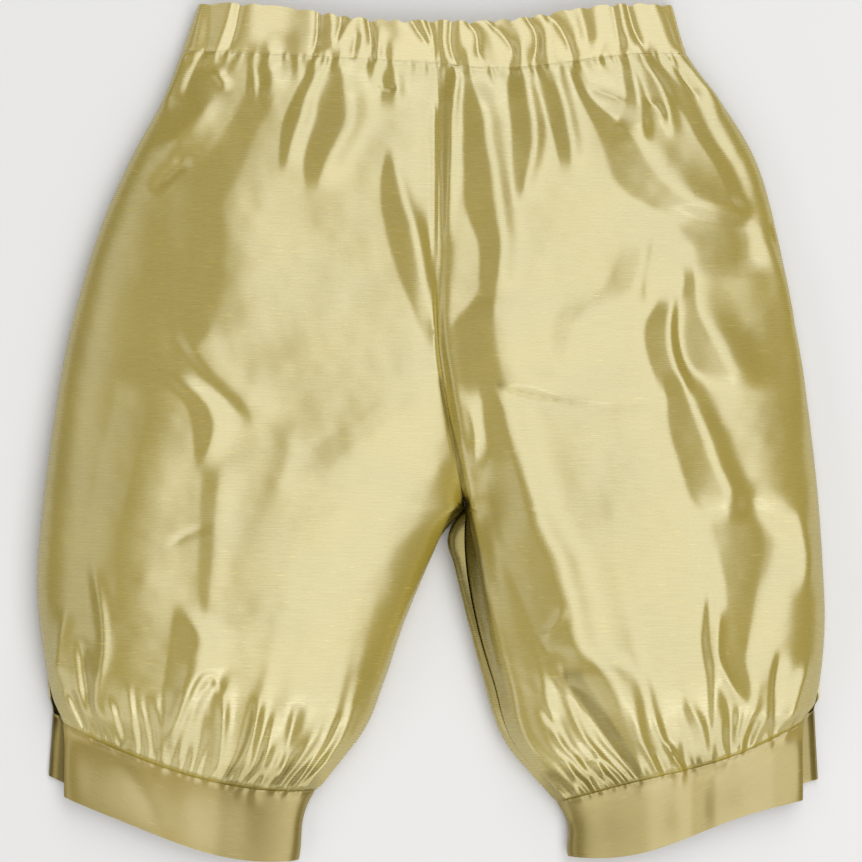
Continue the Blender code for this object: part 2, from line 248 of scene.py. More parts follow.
INSEAMS = {
    Side.LEFT: (
        Inseam(0.72, 15.1, -36.2),
        Inseam(0.745, 5.6, -46.8),
        Inseam(0.78, -1.2, -60.2),
        Inseam(0.84, -13.7, -90.0),
        Inseam(0.90, -23.3, -118.8),
        Inseam(0.95, -33.8, -143.8),
        Inseam(1.00, -56.4, -171.6),
        Inseam(1.09, -64.6, -205.2),
    ),
    Side.RIGHT: (
        Inseam(0.72, 15.1, -36.2, 0.0, 0.0, 3.4),
        Inseam(0.735, 14.9, -43.0, 5.0, 6.0, 4.4),
        Inseam(0.75, 14.9, -50.0, 7.6, 9.0, 5.4),
        Inseam(0.78, 15.6, -63.6, 5.5, 8.0, 6.6),
        Inseam(0.84, 20.6, -92.4, 3.6, 6.0, 8.6),
        Inseam(0.90, 28.1, -118.8, 3.9, 5.0, 8.2),
        Inseam(0.95, 37.7, -147.6, 3.1, 3.0, 6.6),
        Inseam(1.00, 62.4, -176.6, 3.4, 1.0, 4.0),
        Inseam(1.09, 65.4, -203.4, 0.6, 0.0, 3.0),
    ),
}
SINK_WIDTH = 9.0                   # half width in which the cloth sinks to an inseam
LIP_WIDTH, LIP_HEIGHT = 3.6, 1.8   # soft edge of the right front along its inner seam
LIP_START, LIP_FULL = 0.3, 0.6     # stations between which the lip grows
LIP_END = 0.05                     # share of the leg above the knee seam in which it dies away

FLAPS = (
    Flap(-0.075, 0.0, 0.0),
    Flap(0.80, 0.0, 0.0),
    Flap(0.93, 0.6, 0.8),
    Flap(1.00, 5.6, 4.5),
    Flap(1.09, 8.0, 9.5),
)
FLAP_FROM = 0.45       # share of the back's width from which the flap moves it


@dataclass(frozen=True)
class Crease:
    """A soft ridge, or a trough where the height is below zero, along a path in photo pixels.

    Widths are half widths at the two ends, and widths and height are in millimetres. Skew above
    zero makes the side to the right of the path's direction the steeper one. Crisp is 0 on a
    rounded crease and 1 on a sharp one. Start and end are the shares of the height at the ends.
    """

    path: tuple[tuple[float, float], ...]
    width: float
    end_width: float
    height: float
    skew: float = 0.0
    crisp: float = 0.2
    start: float = 0.0
    end: float = 0.0


@dataclass(frozen=True)
class Flank:
    """A slope between a hollow and a fold: its left and right edges, row by row in photo pixels.

    Tilt is in degrees. Above zero the cloth climbs to the right edge and below zero it sinks, and it
    comes back in the pixels of fall past that edge. Start and end are the shares of the slope at
    the first and last row.
    """

    rows: tuple[tuple[float, float, float], ...]     # y, left edge, right edge
    tilt: float
    fall: float
    start: float = 0.0
    end: float = 0.0


@dataclass(frozen=True)
class Shadow:
    """Shade painted into the colour of cloth that lies under a fold or turns from the light: its
    edges, row by row in photo pixels.
    """

    rows: tuple[tuple[float, float, float], ...]     # y, left edge, right edge
    depth: float
    end: float = 1.0       # share of the depth at the last row
    edge: float = 3.0      # pixels in which the shadow grows at its edges
    under: float = 99.0    # highest cloth that the shadow falls on, in millimetres


# Painted shade: the hollow of the crotch under the right front's fold, the shadow line along the
# centre seam, the dark insides of the two flaps, and thin shadow lines along two creases.
SHADOWS = (
    Shadow(((500, 463, 468), (512, 452, 470), (530, 444, 474), (560, 451, 480), (590, 458, 485),
            (620, 466, 490), (650, 472, 496), (680, 480, 503), (705, 486, 508)), 0.85, 0.15),
    Shadow(((382, 438, 441), (415, 445, 448), (450, 453, 457), (480, 460, 464), (505, 463, 468)),
           0.45, edge=2.0),
    Shadow(((700, 40, 68), (785, 36, 68)), 0.75, under=4.0),
    Shadow(((700, 800, 830), (775, 800, 832)), 0.4, under=4.0),
    Shadow(((387, 498, 508), (391, 508, 523), (396, 523, 540), (401, 541, 560), (405, 560, 584)),
           0.32, 0.1, edge=2.5),
    Shadow(((676, 566, 578), (700, 584, 594), (730, 605, 613), (776, 637, 641)), 0.3, edge=7.0),
    # Broad painted shade on the knee bands, where the cloth is turned from the light.
    Shadow(((770, 228, 310), (862, 222, 310)), 0.32, edge=14.0),
    Shadow(((745, 50, 120), (830, 50, 150)), 0.14, edge=20.0),
    Shadow(((775, 550, 640), (862, 550, 640)), 0.34, edge=16.0),
    Shadow(((760, 694, 712), (840, 694, 712)), 0.3, edge=6.0),
    Shadow(((745, 778, 812), (840, 778, 812)), 0.2, edge=10.0),
)

SHADOW_REACH = 10.0    # pixels in which a shadow grows and dies away at its ends


@dataclass(frozen=True)
class Notch:
    """A dip of the casing's top edge between two pleats."""

    x: float               # photo pixels
    width: float           # half width, in photo pixels
    depth: float           # millimetres


NOTCHES = (
    Notch(211, 5, 0.7), Notch(243, 5, 1.3), Notch(262, 6, 0.6), Notch(297, 6, 0.8), Notch(322, 4, 1.5),
    Notch(338, 4, 1.1), Notch(351, 4, 1.6), Notch(371, 5, 1.8), Notch(388, 4, 1.0), Notch(404, 5, 1.4),
    Notch(431, 5, 1.2), Notch(452, 4, 0.9), Notch(470, 5, 1.5), Notch(494, 4, 1.2), Notch(512, 5, 1.5),
    Notch(531, 4, 1.1), Notch(548, 5, 1.5), Notch(570, 4, 0.8), Notch(588, 5, 1.2), Notch(612, 4, 1.3),
    Notch(630, 4, 1.5), Notch(648, 5, 0.8), Notch(661, 4, 1.0),
)
NOTCH_REACH = 9.0      # length of casing over which a notch dies out, in millimetres

CASING_CREASES = (
    Crease(((199, 2), (197, 25), (192, 52)), 2.7, 3.0, 0.63, start=1, end=0.6),
    Crease(((210, 2), (207, 50)), 3.6, 3.8, -0.63, start=1, end=0.6),
    Crease(((232, 2), (226, 25), (216, 52), (212, 72)), 2.7, 3.5, 0.83, -0.3, start=1),
    Crease(((240, 2), (235, 30), (226, 56)), 1.5, 1.6, -0.83, crisp=0.6, start=1),
    Crease(((252, 2), (249, 50)), 5.4, 5.9, 0.44, start=1, end=0.5),
    Crease(((290, 8), (286, 36), (284, 60)), 9.0, 9.0, -0.76, start=1, end=0.7),
    Crease(((318, 5), (317, 37), (312, 58)), 1.5, 1.6, -1.27, crisp=0.6, start=1, end=0.6),
    Crease(((329, 5), (332, 33), (325, 56)), 3.0, 3.0, 0.83, start=1, end=0.6),
    Crease(((341, 8), (340, 28), (333, 50)), 1.5, 1.5, -0.83, crisp=0.6, start=1),
    Crease(((354, 12), (342, 34), (324, 57)), 2.6, 3.0, 0.76, 0.3, start=1),
    Crease(((358, 30), (352, 58)), 1.5, 1.8, -0.83, end=0.6, crisp=0.6),
    Crease(((361, 12), (361, 56)), 2.7, 3.0, 0.5, start=1, end=0.6),
    Crease(((367, 14), (371, 40), (373, 60)), 1.6, 1.8, -1.33, crisp=0.6, start=1, end=0.5),
    Crease(((380, 24), (378, 44), (376, 66)), 3.0, 3.2, 0.63, end=0.6),
    Crease(((397, 14), (401, 40), (400, 66)), 5.7, 5.7, 0.69, start=1, end=0.7),
    Crease(((408, 14), (417, 30), (432, 50)), 1.7, 2.0, -1.27, crisp=0.6, start=1),
    Crease(((420, 16), (428, 34), (437, 52)), 2.4, 2.4, 0.5, start=1),
    Crease(((427, 18), (433, 40), (438, 64)), 1.6, 1.8, -1.14, crisp=0.6, start=1, end=0.6),
    Crease(((444, 18), (443, 40), (448, 62)), 3.0, 3.2, 0.63, start=1, end=0.6),
    Crease(((451, 18), (450, 46), (459, 72)), 1.6, 1.8, -1.14, crisp=0.6, start=1, end=0.4),
    Crease(((459, 16), (461, 40), (469, 70)), 2.8, 3.2, 0.63, start=1, end=0.4),
    Crease(((465, 16), (476, 34), (478, 54), (486, 66)), 1.6, 1.7, -1.08, crisp=0.6, start=1),
    Crease(((473, 16), (488, 30), (497, 62)), 3.4, 4.1, 0.57, start=1, end=0.6),
    Crease(((480, 18), (494, 27), (510, 46), (517, 66)), 1.6, 1.8, -1.08, crisp=0.6, start=1),
    Crease(((510, 14), (520, 36), (523, 66)), 3.8, 3.5, 0.63, start=1, end=0.6),
    Crease(((522, 12), (534, 30), (536, 48), (529, 70)), 1.7, 2.0, -1.27, crisp=0.6, start=1),
    Crease(((533, 10), (545, 28), (551, 60)), 3.5, 4.1, 0.57, start=1, end=0.6),
    Crease(((543, 9), (560, 29), (572, 55), (573, 78)), 1.8, 2.2, -1.33, crisp=0.6, start=1),
    Crease(((562, 6), (574, 26), (579, 50)), 3.0, 3.2, 0.5, start=1),
    Crease(((578, 5), (584, 28), (588, 48)), 3.0, 3.2, -0.89, start=1, end=0.4),
    Crease(((595, 4), (598, 50)), 3.2, 3.5, 0.5, start=1, end=0.5),
    Crease(((603, 36), (596, 68)), 2.6, 2.8, -0.63, crisp=0.6),
    Crease(((612, 4), (616, 28), (621, 54)), 1.7, 1.8, -0.76, crisp=0.6, start=1),
    Crease(((619, 3), (624, 30), (632, 56)), 2.4, 3.0, 0.57, start=1),
    Crease(((626, 2), (634, 32), (649, 58)), 1.7, 2.0, -1.33, crisp=0.6, start=1),
    Crease(((651, 3), (661, 28), (672, 58)), 4.6, 4.6, 0.83, 0.2, start=1, end=0.7),
    Crease(((664, 3), (672, 26), (682, 54)), 1.8, 2.0, -0.76, crisp=0.6, start=1),
)

LEFT_LEG_CREASES = (
    Crease(((434, 290), (436, 350), (440, 400), (447, 440), (455, 480)), 4.5, 4.5, 1.6, start=0.2),
    Crease(((186, 55), (173, 88), (160, 112)), 3.0, 4.0, 1.3, start=0.6),
    Crease(((201, 55), (190, 80), (183, 104)), 3.0, 4.1, -1.0, 0.4, start=0.6),
    Crease(((214, 66), (229, 93)), 3.0, 2.4, 0.9),
    Crease(((377, 87), (397, 91)), 1.5, 1.6, -0.9, crisp=0.5),
    Crease(((222, 90), (196, 122), (158, 163)), 4.5, 6.5, 1.2),
    Crease(((196, 152), (150, 194)), 4.0, 4.6, -1.4),
    Crease(((296, 406), (292, 448), (272, 512)), 6.0, 7.0, 0.6),
    Crease(((290, 436), (350, 424), (408, 388)), 7.0, 8.0, 0.6),
    Crease(((169, 544), (192, 532), (218, 524)), 1.6, 1.8, -0.8, crisp=0.8),
    Crease(((96, 552), (108, 637), (94, 716)), 2.8, 3.2, 1.6, crisp=0.4),
    Crease(((82, 630), (86, 676), (91, 716)), 3.4, 3.9, -1.8, 0.4),
    Crease(((72, 596), (62, 650), (55, 694)), 4.0, 4.0, 1.5, crisp=0.4),
    Crease(((246, 658), (206, 666), (188, 697), (174, 734), (173, 768)), 4.0, 3.4, 1.6, -0.3, 0.2),
    Crease(((212, 668), (227, 690)), 2.6, 2.6, -0.8, 0.4, crisp=0.4),
    Crease(((228, 690), (224, 730), (218, 768)), 2.4, 2.6, 1.5, end=0.4),
    Crease(((262, 690), (255, 736), (246, 782)), 2.2, 2.4, 1.3, end=0.4),
    Crease(((68, 684), (78, 710), (88, 734)), 2.5, 2.8, -1.7, 0.4, end=0.3),
    Crease(((110, 690), (118, 724), (124, 748)), 2.2, 2.4, 1.3, end=0.4),
    Crease(((280, 700), (268, 745), (262, 786)), 2.2, 2.4, 1.2, end=0.4),
    Crease(((300, 690), (290, 740), (280, 788)), 3.4, 3.4, -1.4, 0.4, end=0.3),
    Crease(((340, 746), (314, 770), (286, 790)), 3.0, 3.0, 1.4, end=0.4),
    Crease(((352, 700), (330, 740), (300, 784)), 4.6, 3.9, -1.4, 0.4, end=0.3),
)

RIGHT_LEG_CREASES = (
    Crease(((466, 508), (478, 560), (491, 640), (504, 700)), 1.2, 1.2, 0.7, start=0.6),
    Crease(((466, 398), (474, 432), (472, 476)), 1.8, 1.8, 0.5),
    Crease(((586, 89), (606, 96), (627, 105)), 1.6, 1.6, -1.1, crisp=0.7),
    Crease(((640, 102), (654, 106), (664, 124)), 1.6, 1.6, -1.1, crisp=0.7),
    Crease(((670, 58), (684, 78), (704, 101)), 3.2, 3.7, -1.8, 0.4, start=0.5),
    Crease(((684, 56), (706, 84), (730, 110)), 3.0, 3.4, 1.2, start=0.4),
    Crease(((496, 388), (535, 397), (576, 405), (618, 407), (660, 405)), 1.8, 2.2, -1.5, -0.3, 0.6),
    Crease(((500, 378), (576, 393), (655, 392)), 5.0, 5.0, 0.8),
    Crease(((657, 220), (644, 285), (648, 320)), 4.5, 5.0, -0.7, 0.4, crisp=0.5),
    Crease(((744, 200), (770, 250), (794, 337), (806, 445)), 5.0, 6.0, 1.5),
    Crease(((792, 500), (804, 550), (800, 600)), 4.0, 4.0, 1.4),
    Crease(((564, 602), (554, 620), (540, 637)), 1.8, 1.8, 0.8, crisp=0.6),
    Crease(((536, 700), (556, 728), (576, 760)), 3.0, 3.2, -1.5, 0.4, end=0.3),
    Crease(((560, 752), (572, 772), (580, 792)), 1.8, 1.8, 1.2, end=0.4),
    Crease(((576, 750), (588, 772), (594, 790)), 1.7, 1.7, -1.2, end=0.4),
    Crease(((592, 744), (600, 768), (606, 788)), 1.8, 1.8, 1.2, end=0.4),
    Crease(((716, 592), (713, 647), (725, 679), (745, 710)), 3.0, 3.4, 2.2, -0.2, 0.3),
    Crease(((736, 700), (733, 752)), 2.2, 2.2, 1.3, end=0.4),
    Crease(((755, 708), (742, 748)), 2.5, 2.6, -1.7, 0.4, end=0.3),
    Crease(((664, 736), (670, 750), (675, 770)), 2.0, 2.0, 1.4, end=0.4),
    Crease(((650, 744), (656, 760), (660, 774)), 2.1, 2.1, -1.2, 0.4, end=0.4),
    Crease(((778, 640), (772, 690), (772, 736)), 3.4, 3.4, -1.8, 0.4, end=0.4),
    Crease(((808, 646), (792, 702), (783, 738)), 3.2, 3.0, 1.9, crisp=0.4, end=0.4),
)

LEFT_LEG_FLANKS = (
    Flank(((60, 328, 342), (80, 320, 345), (100, 312, 349), (120, 309, 350), (140, 304, 340),
           (160, 300, 328), (182, 303, 320)), 10.5, 16, start=1),
    Flank(((70, 306, 316), (80, 300, 313), (100, 290, 305), (120, 281, 300), (140, 279, 292),
           (164, 278, 286)), 11, 10, start=0.8),
    Flank(((50, 262, 302), (85, 245, 285), (118, 228, 268), (140, 215, 256), (160, 200, 250),
           (180, 180, 243), (200, 165, 228), (240, 160, 231), (270, 160, 232), (300, 160, 229),
           (330, 165, 216), (350, 170, 195)), 4.5, 62, start=1),
    Flank(((60, 366, 376), (82, 366, 372)), 12, 6, start=1),
    Flank(((60, 382, 392), (80, 380, 396), (102, 378, 396)), 10.5, 8, start=1),
    Flank(((60, 252, 268), (80, 258, 272), (97, 256, 266)), 10.5, 10, start=1),
    Flank(((62, 247, 254), (80, 245, 253), (97, 247, 254)), 10.5, 5, start=0.6),
    Flank(((155, 384, 392), (180, 378, 398), (200, 378, 403), (220, 380, 410), (240, 385, 416),
           (260, 391, 420), (280, 398, 423), (300, 407, 428), (320, 414, 432), (342, 424, 436)),
          10, 10),
    Flank(((105, 427, 437), (130, 424, 437), (160, 428, 437), (200, 428, 437), (240, 428, 437),
           (264, 431, 437)), 11, 5),
    Flank(((382, 112, 148), (400, 110, 156), (420, 105, 152), (440, 100, 148), (460, 95, 143),
           (480, 92, 138), (500, 88, 132), (520, 84, 126), (560, 82, 122), (600, 84, 122),
           (640, 88, 115), (690, 92, 110), (720, 96, 114), (742, 112, 124)), 5, 42, end=0.5),
    Flank(((335, 172, 184), (345, 178, 192), (360, 186, 202), (375, 198, 216), (390, 214, 232),
           (400, 226, 243), (417, 242, 255)), 9, 30),
    Flank(((378, 158, 178), (390, 172, 192), (400, 184, 206), (420, 190, 215), (440, 192, 212),
           (458, 195, 203)), 11, 14),
    Flank(((612, 172, 182), (620, 170, 192), (640, 168, 203), (660, 165, 193), (680, 163, 186),
           (700, 160, 180), (720, 152, 172), (740, 150, 166), (756, 154, 162)), 11, 18),
    Flank(((676, 202, 216), (685, 195, 206), (700, 188, 197), (720, 180, 189), (740, 175, 183),
           (758, 173, 179)), 13, 6, end=0.6),
    Flank(((684, 214, 226), (700, 210, 222), (720, 208, 218), (740, 205, 212), (762, 202, 208)),
          12, 8, end=0.6),
    Flank(((700, 248, 256), (720, 243, 253), (740, 238, 248), (760, 236, 243), (778, 232, 240)),
          12, 8, end=0.6),
    Flank(((744, 256, 266), (765, 252, 262), (784, 246, 254)), 12, 7, end=0.6),
    Flank(((688, 121, 128), (700, 120, 130), (720, 122, 133), (742, 128, 137)), 13, 5, end=0.6),
    Flank(((696, 133, 138), (720, 137, 143), (748, 142, 149)), 13, 5, end=0.6),
    Flank(((700, 144, 156), (730, 148, 158), (756, 150, 160)), 11, 5, end=0.6),
    Flank(((396, 380, 420), (425, 340, 392), (450, 300, 352), (474, 290, 330)), 2.5, 40),
    Flank(((470, 200, 220), (530, 198, 215), (580, 196, 211), (614, 200, 208)), 5, 14),
)

RIGHT_LEG_FLANKS = (
    Flank(((80, 444, 456), (95, 442, 454), (120, 441, 451), (160, 441, 450), (200, 441, 448),
           (237, 441, 446)), 14, 6, start=0.8),
    Flank(((64, 461, 469), (80, 461, 473), (100, 458, 480), (120, 460, 486), (140, 460, 487),
           (160, 460, 491), (180, 460, 494), (200, 460, 497), (220, 466, 499), (240, 476, 502),
           (260, 478, 501), (286, 477, 498)), 12, 14, start=1),
    Flank(((290, 478, 497), (306, 466, 496), (322, 447, 498), (340, 441, 501), (360, 443, 505),
           (390, 447, 512)), 12, 44),
    Flank(((60, 510, 520), (80, 505, 526), (100, 505, 529), (120, 507, 533), (140, 508, 534),
           (160, 508, 531), (180, 510, 526), (198, 512, 522)), 12, 10, start=1),
    Flank(((50, 536, 544), (60, 535, 548), (80, 531, 556), (100, 540, 562), (120, 545, 567),
           (140, 552, 571), (164, 558, 572)), 12, 10, start=1),
    Flank(((60, 566, 574), (80, 570, 581), (100, 579, 592), (120, 588, 618), (140, 597, 638),
           (160, 602, 652), (180, 606, 666), (200, 628, 690), (216, 660, 732)), 12, 36, start=1),
    Flank(((54, 618, 628), (80, 622, 634), (100, 625, 638), (120, 616, 640), (134, 608, 640)),
          13, 8, start=1),
    Flank(((58, 628, 640), (80, 640, 656), (100, 646, 665), (116, 657, 668), (132, 664, 672)),
          14, 8, start=1),
    Flank(((62, 645, 660), (80, 656, 678), (100, 672, 698), (120, 685, 706), (140, 695, 716),
           (160, 710, 730), (180, 720, 740), (200, 728, 746), (217, 735, 752)), -10, 11, start=1),
    Flank(((214, 664, 735), (230, 668, 750), (250, 690, 750), (266, 690, 745)), -9, 26),
    Flank(((300, 656, 672), (320, 642, 668), (340, 640, 668), (360, 645, 672), (388, 656, 683)),
          14, 8),
    Flank(((266, 680, 694), (285, 682, 697), (305, 674, 698), (320, 672, 704), (340, 674, 716),
           (360, 680, 726), (382, 704, 738)), 16, 26),
    Flank(((380, 660, 684), (400, 664, 690), (420, 663, 698), (440, 667, 707), (460, 674, 713),
           (480, 680, 723), (500, 684, 731), (516, 704, 733)), 15, 16),
    Flank(((396, 448, 466), (420, 452, 468), (440, 455, 471), (462, 459, 474)), 7, 18),
    Flank(((390, 478, 494), (400, 479, 503), (420, 480, 508), (440, 484, 513), (460, 483, 519),
           (480, 481, 525), (500, 484, 531), (520, 488, 536), (540, 492, 546), (560, 500, 557),
           (580, 508, 562), (600, 518, 568), (620, 526, 572), (640, 534, 576), (658, 548, 584)),
          12, 20),
    Flank(((660, 562, 596), (680, 558, 613), (700, 574, 621), (720, 590, 629), (740, 606, 636),
           (760, 621, 643), (777, 633, 643)), 16, 22, end=0.5),
    Flank(((682, 541, 556), (700, 536, 574), (720, 543, 590), (740, 560, 605), (764, 574, 622)),
          -8, 14),
    Flank(((598, 704, 709), (640, 700, 707), (680, 706, 714), (720, 708, 714), (760, 708, 713)),
          18, 6, end=0.6),
    Flank(((498, 690, 745), (520, 702, 765), (540, 705, 778), (560, 712, 772), (580, 719, 766),
           (600, 722, 760), (620, 722, 757), (640, 722, 752), (660, 726, 748), (680, 735, 752),
           (702, 746, 755)), -12, 26),
    Flank(((688, 718, 727), (720, 720, 731), (752, 720, 728)), -16, 8, end=0.6),
    Flank(((702, 681, 688), (720, 685, 698), (740, 692, 704), (758, 697, 706)), 15, 6, end=0.6),
    Flank(((738, 664, 676), (755, 668, 678), (768, 670, 680)), 15, 5, end=0.6),
    Flank(((740, 688, 696), (766, 692, 699)), 15, 5, end=0.6),
    Flank(((300, 560, 600), (320, 548, 578), (340, 546, 570), (364, 552, 566)), 6, 30),
    Flank(((246, 618, 648), (275, 606, 642), (304, 585, 625)), 5, 20),
)

BAND_CREASES = (
    Crease(((80, 722), (86, 770), (88, 812)), 8.0, 8.0, -0.35, start=0.5, end=0.5),
    Crease(((126, 770), (142, 794), (160, 830)), 4.0, 5.0, -0.35, start=0.4, end=0.4),
    Crease(((180, 778), (188, 816), (192, 846)), 9.0, 9.0, 0.45, start=0.4, end=0.5),
    Crease(((244, 786), (246, 860)), 8.0, 8.0, -0.4, start=0.4, end=0.5),
    Crease(((600, 794), (606, 850)), 8.0, 8.0, -0.4, start=0.5, end=0.5),
    Crease(((676, 768), (680, 846)), 5.0, 5.0, 0.45, start=0.4, end=0.4),
    Crease(((702, 762), (704, 838)), 4.0, 4.0, -0.45, start=0.4, end=0.4),
    Crease(((742, 752), (746, 822)), 8.0, 8.0, 0.45, start=0.4, end=0.4),
    Crease(((788, 734), (790, 806)), 6.0, 6.0, -0.35, start=0.5, end=0.5),
)


def ease(value: float | np.ndarray, low: float, high: float) -> np.ndarray:
    """Runs from 0 at low to 1 at high, with a soft start and stop.

    Args:
        value: Where to read the curve.
        low: Where it leaves 0.
        high: Where it reaches 1.

    Returns:
        The curve's value.
    """
    u = np.clip((np.asarray(value, float) - low) / (high - low), 0.0, 1.0)
    return u * u * (3 - 2 * u)


def along(rows: Sequence, column: str, t: float) -> float:
    """Reads a table's column on a smooth curve through its rows.

    Args:
        rows: Rows with a station t, in order.
        column: Name of the field to read.
        t: Station.

    Returns:
        The column's value at the station.
    """
    knots = np.array([row.t for row in rows])
    values = np.array([getattr(row, column) for row in rows])
    slopes = np.gradient(values, knots)
    t = float(np.clip(t, knots[0], knots[-1]))
    i = int(np.clip(np.searchsorted(knots, t, side="right") - 1, 0, len(knots) - 2))
    span = knots[i + 1] - knots[i]
    u = (t - knots[i]) / span
    return float(
        values[i] * (1 + 2 * u) * (1 - u) ** 2
        + values[i + 1] * u * u * (3 - 2 * u)
        + slopes[i] * span * u * (1 - u) ** 2
        - slopes[i + 1] * span * u * u * (1 - u)
    )


@dataclass
class Cloth:
    """One panel's cloth as a grid, a row for each station and a column for each share of the arc."""

    stations: np.ndarray    # station of each row
    shares: np.ndarray      # share of the arc of each column, from the inner seam out
    places: np.ndarray      # rows, columns, 3, in millimetres
    outwards: np.ndarray    # unit directions out of the garment
    arcs: np.ndarray        # length of each row, in millimetres

    def reach_in(self) -> np.ndarray:
        """Distance of each point from the inner seam, along the cloth, in millimetres."""
        return self.shares[None, :] * self.arcs[:, None]

    def reach_out(self) -> np.ndarray:
        """Distance of each point from the side seam, along the cloth, in millimetres."""
        return (1 - self.shares[None, :]) * self.arcs[:, None]

    def below(self, station: float) -> np.ndarray:
        """Length of cloth from a station down to each row, in millimetres, as a column."""
        return ((self.stations - station) * WAIST_TO_KNEE)[:, None]


@dataclass(frozen=True)
class PuffedForm:
    """The rule that gives every point of the plain puffed garment."""

    side: Side
    face: Face
    samples: int = 361     # points of the dense ring that the shares are read from

    def inner_seam(self, t: float) -> tuple[Sequence, float, float]:
        """Table, x and y of the centre seam above the crotch, or of the inseam below it."""
        rows = MIDDLE if t <= CROTCH else INSEAMS[self.side]
        return rows, along(rows, "x", t), along(rows, "y", t)

    def seam_angle(self, t: float, width: float) -> float:
        """How far round the ring the inner seam lies from the side seam.

        Args:
            t: Station.
            width: Width of the flat panel there.

        Returns:
            Angle in radians.
        """
        if t <= CROTCH:
            return math.radians(along(MIDDLE, "angle", t))
        tuck = max(0.0, along(INSEAMS[self.side], "tuck", t))
        return math.acos((tuck - width) / (tuck + width))

    def sink(self, t: float, reach: np.ndarray, angle: np.ndarray, inner: float) -> np.ndarray:
        """How far the ring's top sinks towards the inner seam.

        Args:
            t: Station.
            reach: Distances from the inner seam.
            angle: Places round the ring.
            inner: Angle of the inner seam.

        Returns:
            Depths.
        """
        rows, _, _ = self.inner_seam(t)
        half_width = GROOVE[self.side] if t <= CROTCH else SINK_WIDTH
        towards_front = np.exp(-((reach / half_width) ** 2))
        towards_back = 1 - (angle - inner) / max(np.pi - inner, 1e-6)
        share = np.where(angle <= inner, towards_front, np.clip(towards_back, 0.0, 1.0))
        return along(rows, "drop", t) * share

    def lip(self, t: float, reach: np.ndarray) -> np.ndarray:
        """Height of the soft edge in which the right front rolls over its inner seam.

        Args:
            t: Station.
            reach: Distances from the inner seam.

        Returns:
            Heights.
        """
        if self.side is Side.LEFT or self.face is Face.BACK:
            return np.zeros(len(reach))
        shown = ease(t, LIP_START, LIP_FULL) * ease(KNEE_SEAM - t, 0.0, LIP_END)
        place = along(INSEAMS[self.side], "lip", max(t, CROTCH))
        hill = np.exp(-(((reach - place) / LIP_WIDTH) ** 2))
        return shown * LIP_HEIGHT * hill * ease(reach, 0.0, LIP_WIDTH)

    def ring(self, t: float, shares: np.ndarray) -> tuple[Places, Places, float]:
        """Points of the ring at a station.

        Args:
            t: Station.
            shares: Shares of the arc from the inner seam out.

        Returns:
            Places, directions out of the garment, and the arc's length.
        """
        _, seam_x, seam_y = self.inner_seam(t)
        seam = np.array([seam_x, seam_y])
        rows = SIDE_SEAMS[self.side]
        outer = np.array([along(rows, "x", t), along(rows, "y", t)])
        width = float(np.linalg.norm(outer - seam))
        across = (outer - seam) / width
        inner = self.seam_angle(t, width)
        slit = math.radians(SLIT_ANGLE) * float(ease(t, SLIT_START, KNEE_SEAM))
        if self.face is Face.FRONT:
            angle = np.linspace(inner, slit, self.samples)
        else:
            start = 2 * np.pi - inner if t <= CROTCH else inner
            angle = np.linspace(start, 2 * np.pi - slit, self.samples)
        half = width / (1 - math.cos(inner))
        reach = width - half + half * np.cos(angle)
        height = self.height(t, angle, reach, inner)

        steps = np.hypot(np.diff(reach), np.diff(height))
        length = np.concatenate([[0.0], np.cumsum(steps)])
        wanted = SEAM_GAP / 2 + shares * (length[-1] - SEAM_GAP)
        out, up = (np.interp(wanted, length, part) for part in self.outward(reach, height))
        reach = np.interp(wanted, length, reach)
        height = np.interp(wanted, length, height)

        share = np.clip(reach / width, 0.0, 1.0)
        sag = along(rows, "bow", t) * 4 * share * (1 - share)
        sag += along(rows, "sway", t) * np.sin(2 * np.pi * share)
        places = np.stack(
            [seam[0] + across[0] * reach, seam[1] + across[1] * reach - sag, height], axis=1
        )
        if self.face is Face.BACK:
            shown = ease(share, FLAP_FROM, 1.0)
            places[:, 0] += self.side.value * along(FLAPS, "out", t) * shown
            places[:, 1] += along(FLAPS, "up", t) * shown
        outwards = np.stack([out * across[0], out * across[1], up], axis=1)
        return places, outwards, float(length[-1])

    def height(self, t: float, angle: np.ndarray, reach: np.ndarray, inner: float) -> np.ndarray:
        """Height of the ring off the table.

        Args:
            t: Station.
            angle: Places round the ring.
            reach: Distances from the inner seam.
            inner: Angle of the inner seam.

        Returns:
            Heights.
        """
        inward = (1 - np.cos(angle)) / 2
        edge = along(RINGS, "edge", t) * (1 - inward) + along(RINGS, "inner", t) * inward
        crown = np.sqrt(1 - np.abs(np.cos(angle)) ** along(RINGS, "square", t))
        over = edge + (along(RINGS, "rise", t) - edge) * crown
        over += self.lip(t, reach) - self.sink(t, reach, angle, inner)
        under = edge - UNDER_PRESS * edge * np.sqrt(1 - np.abs(np.cos(angle)) ** UNDER_SQUARE)
        return np.where(angle <= np.pi, over, np.maximum(under, 0.0))

    def outward(self, reach: np.ndarray, height: np.ndarray) -> tuple[np.ndarray, np.ndarray]:
        """Unit directions across a ring that point out of the garment.

        Args:
            reach: Distances from the inner seam.
            height: Heights off the table.

        Returns:
            Sideways and upward parts.
        """
        along_reach, along_height = np.gradient(reach), np.gradient(height)
        size = np.hypot(along_reach, along_height)
        turn = 1.0 if self.face is Face.FRONT else -1.0
        return -turn * along_height / size, turn * along_reach / size

    def cloth(self, stations: np.ndarray, columns: int) -> Cloth:
        """Grid of a panel.

        Args:
            stations: Station of each row.
            columns: Faces across the panel.

        Returns:
            The plain cloth, with no creases.
        """
        shares = np.linspace(0.0, 1.0, columns + 1)
        rings = [self.ring(float(t), shares) for t in stations]
        return Cloth(
            stations,
            shares,
            np.array([places for places, _, _ in rings]),
            np.array([outwards for _, outwards, _ in rings]),
            np.array([length for _, _, length in rings]),
        )


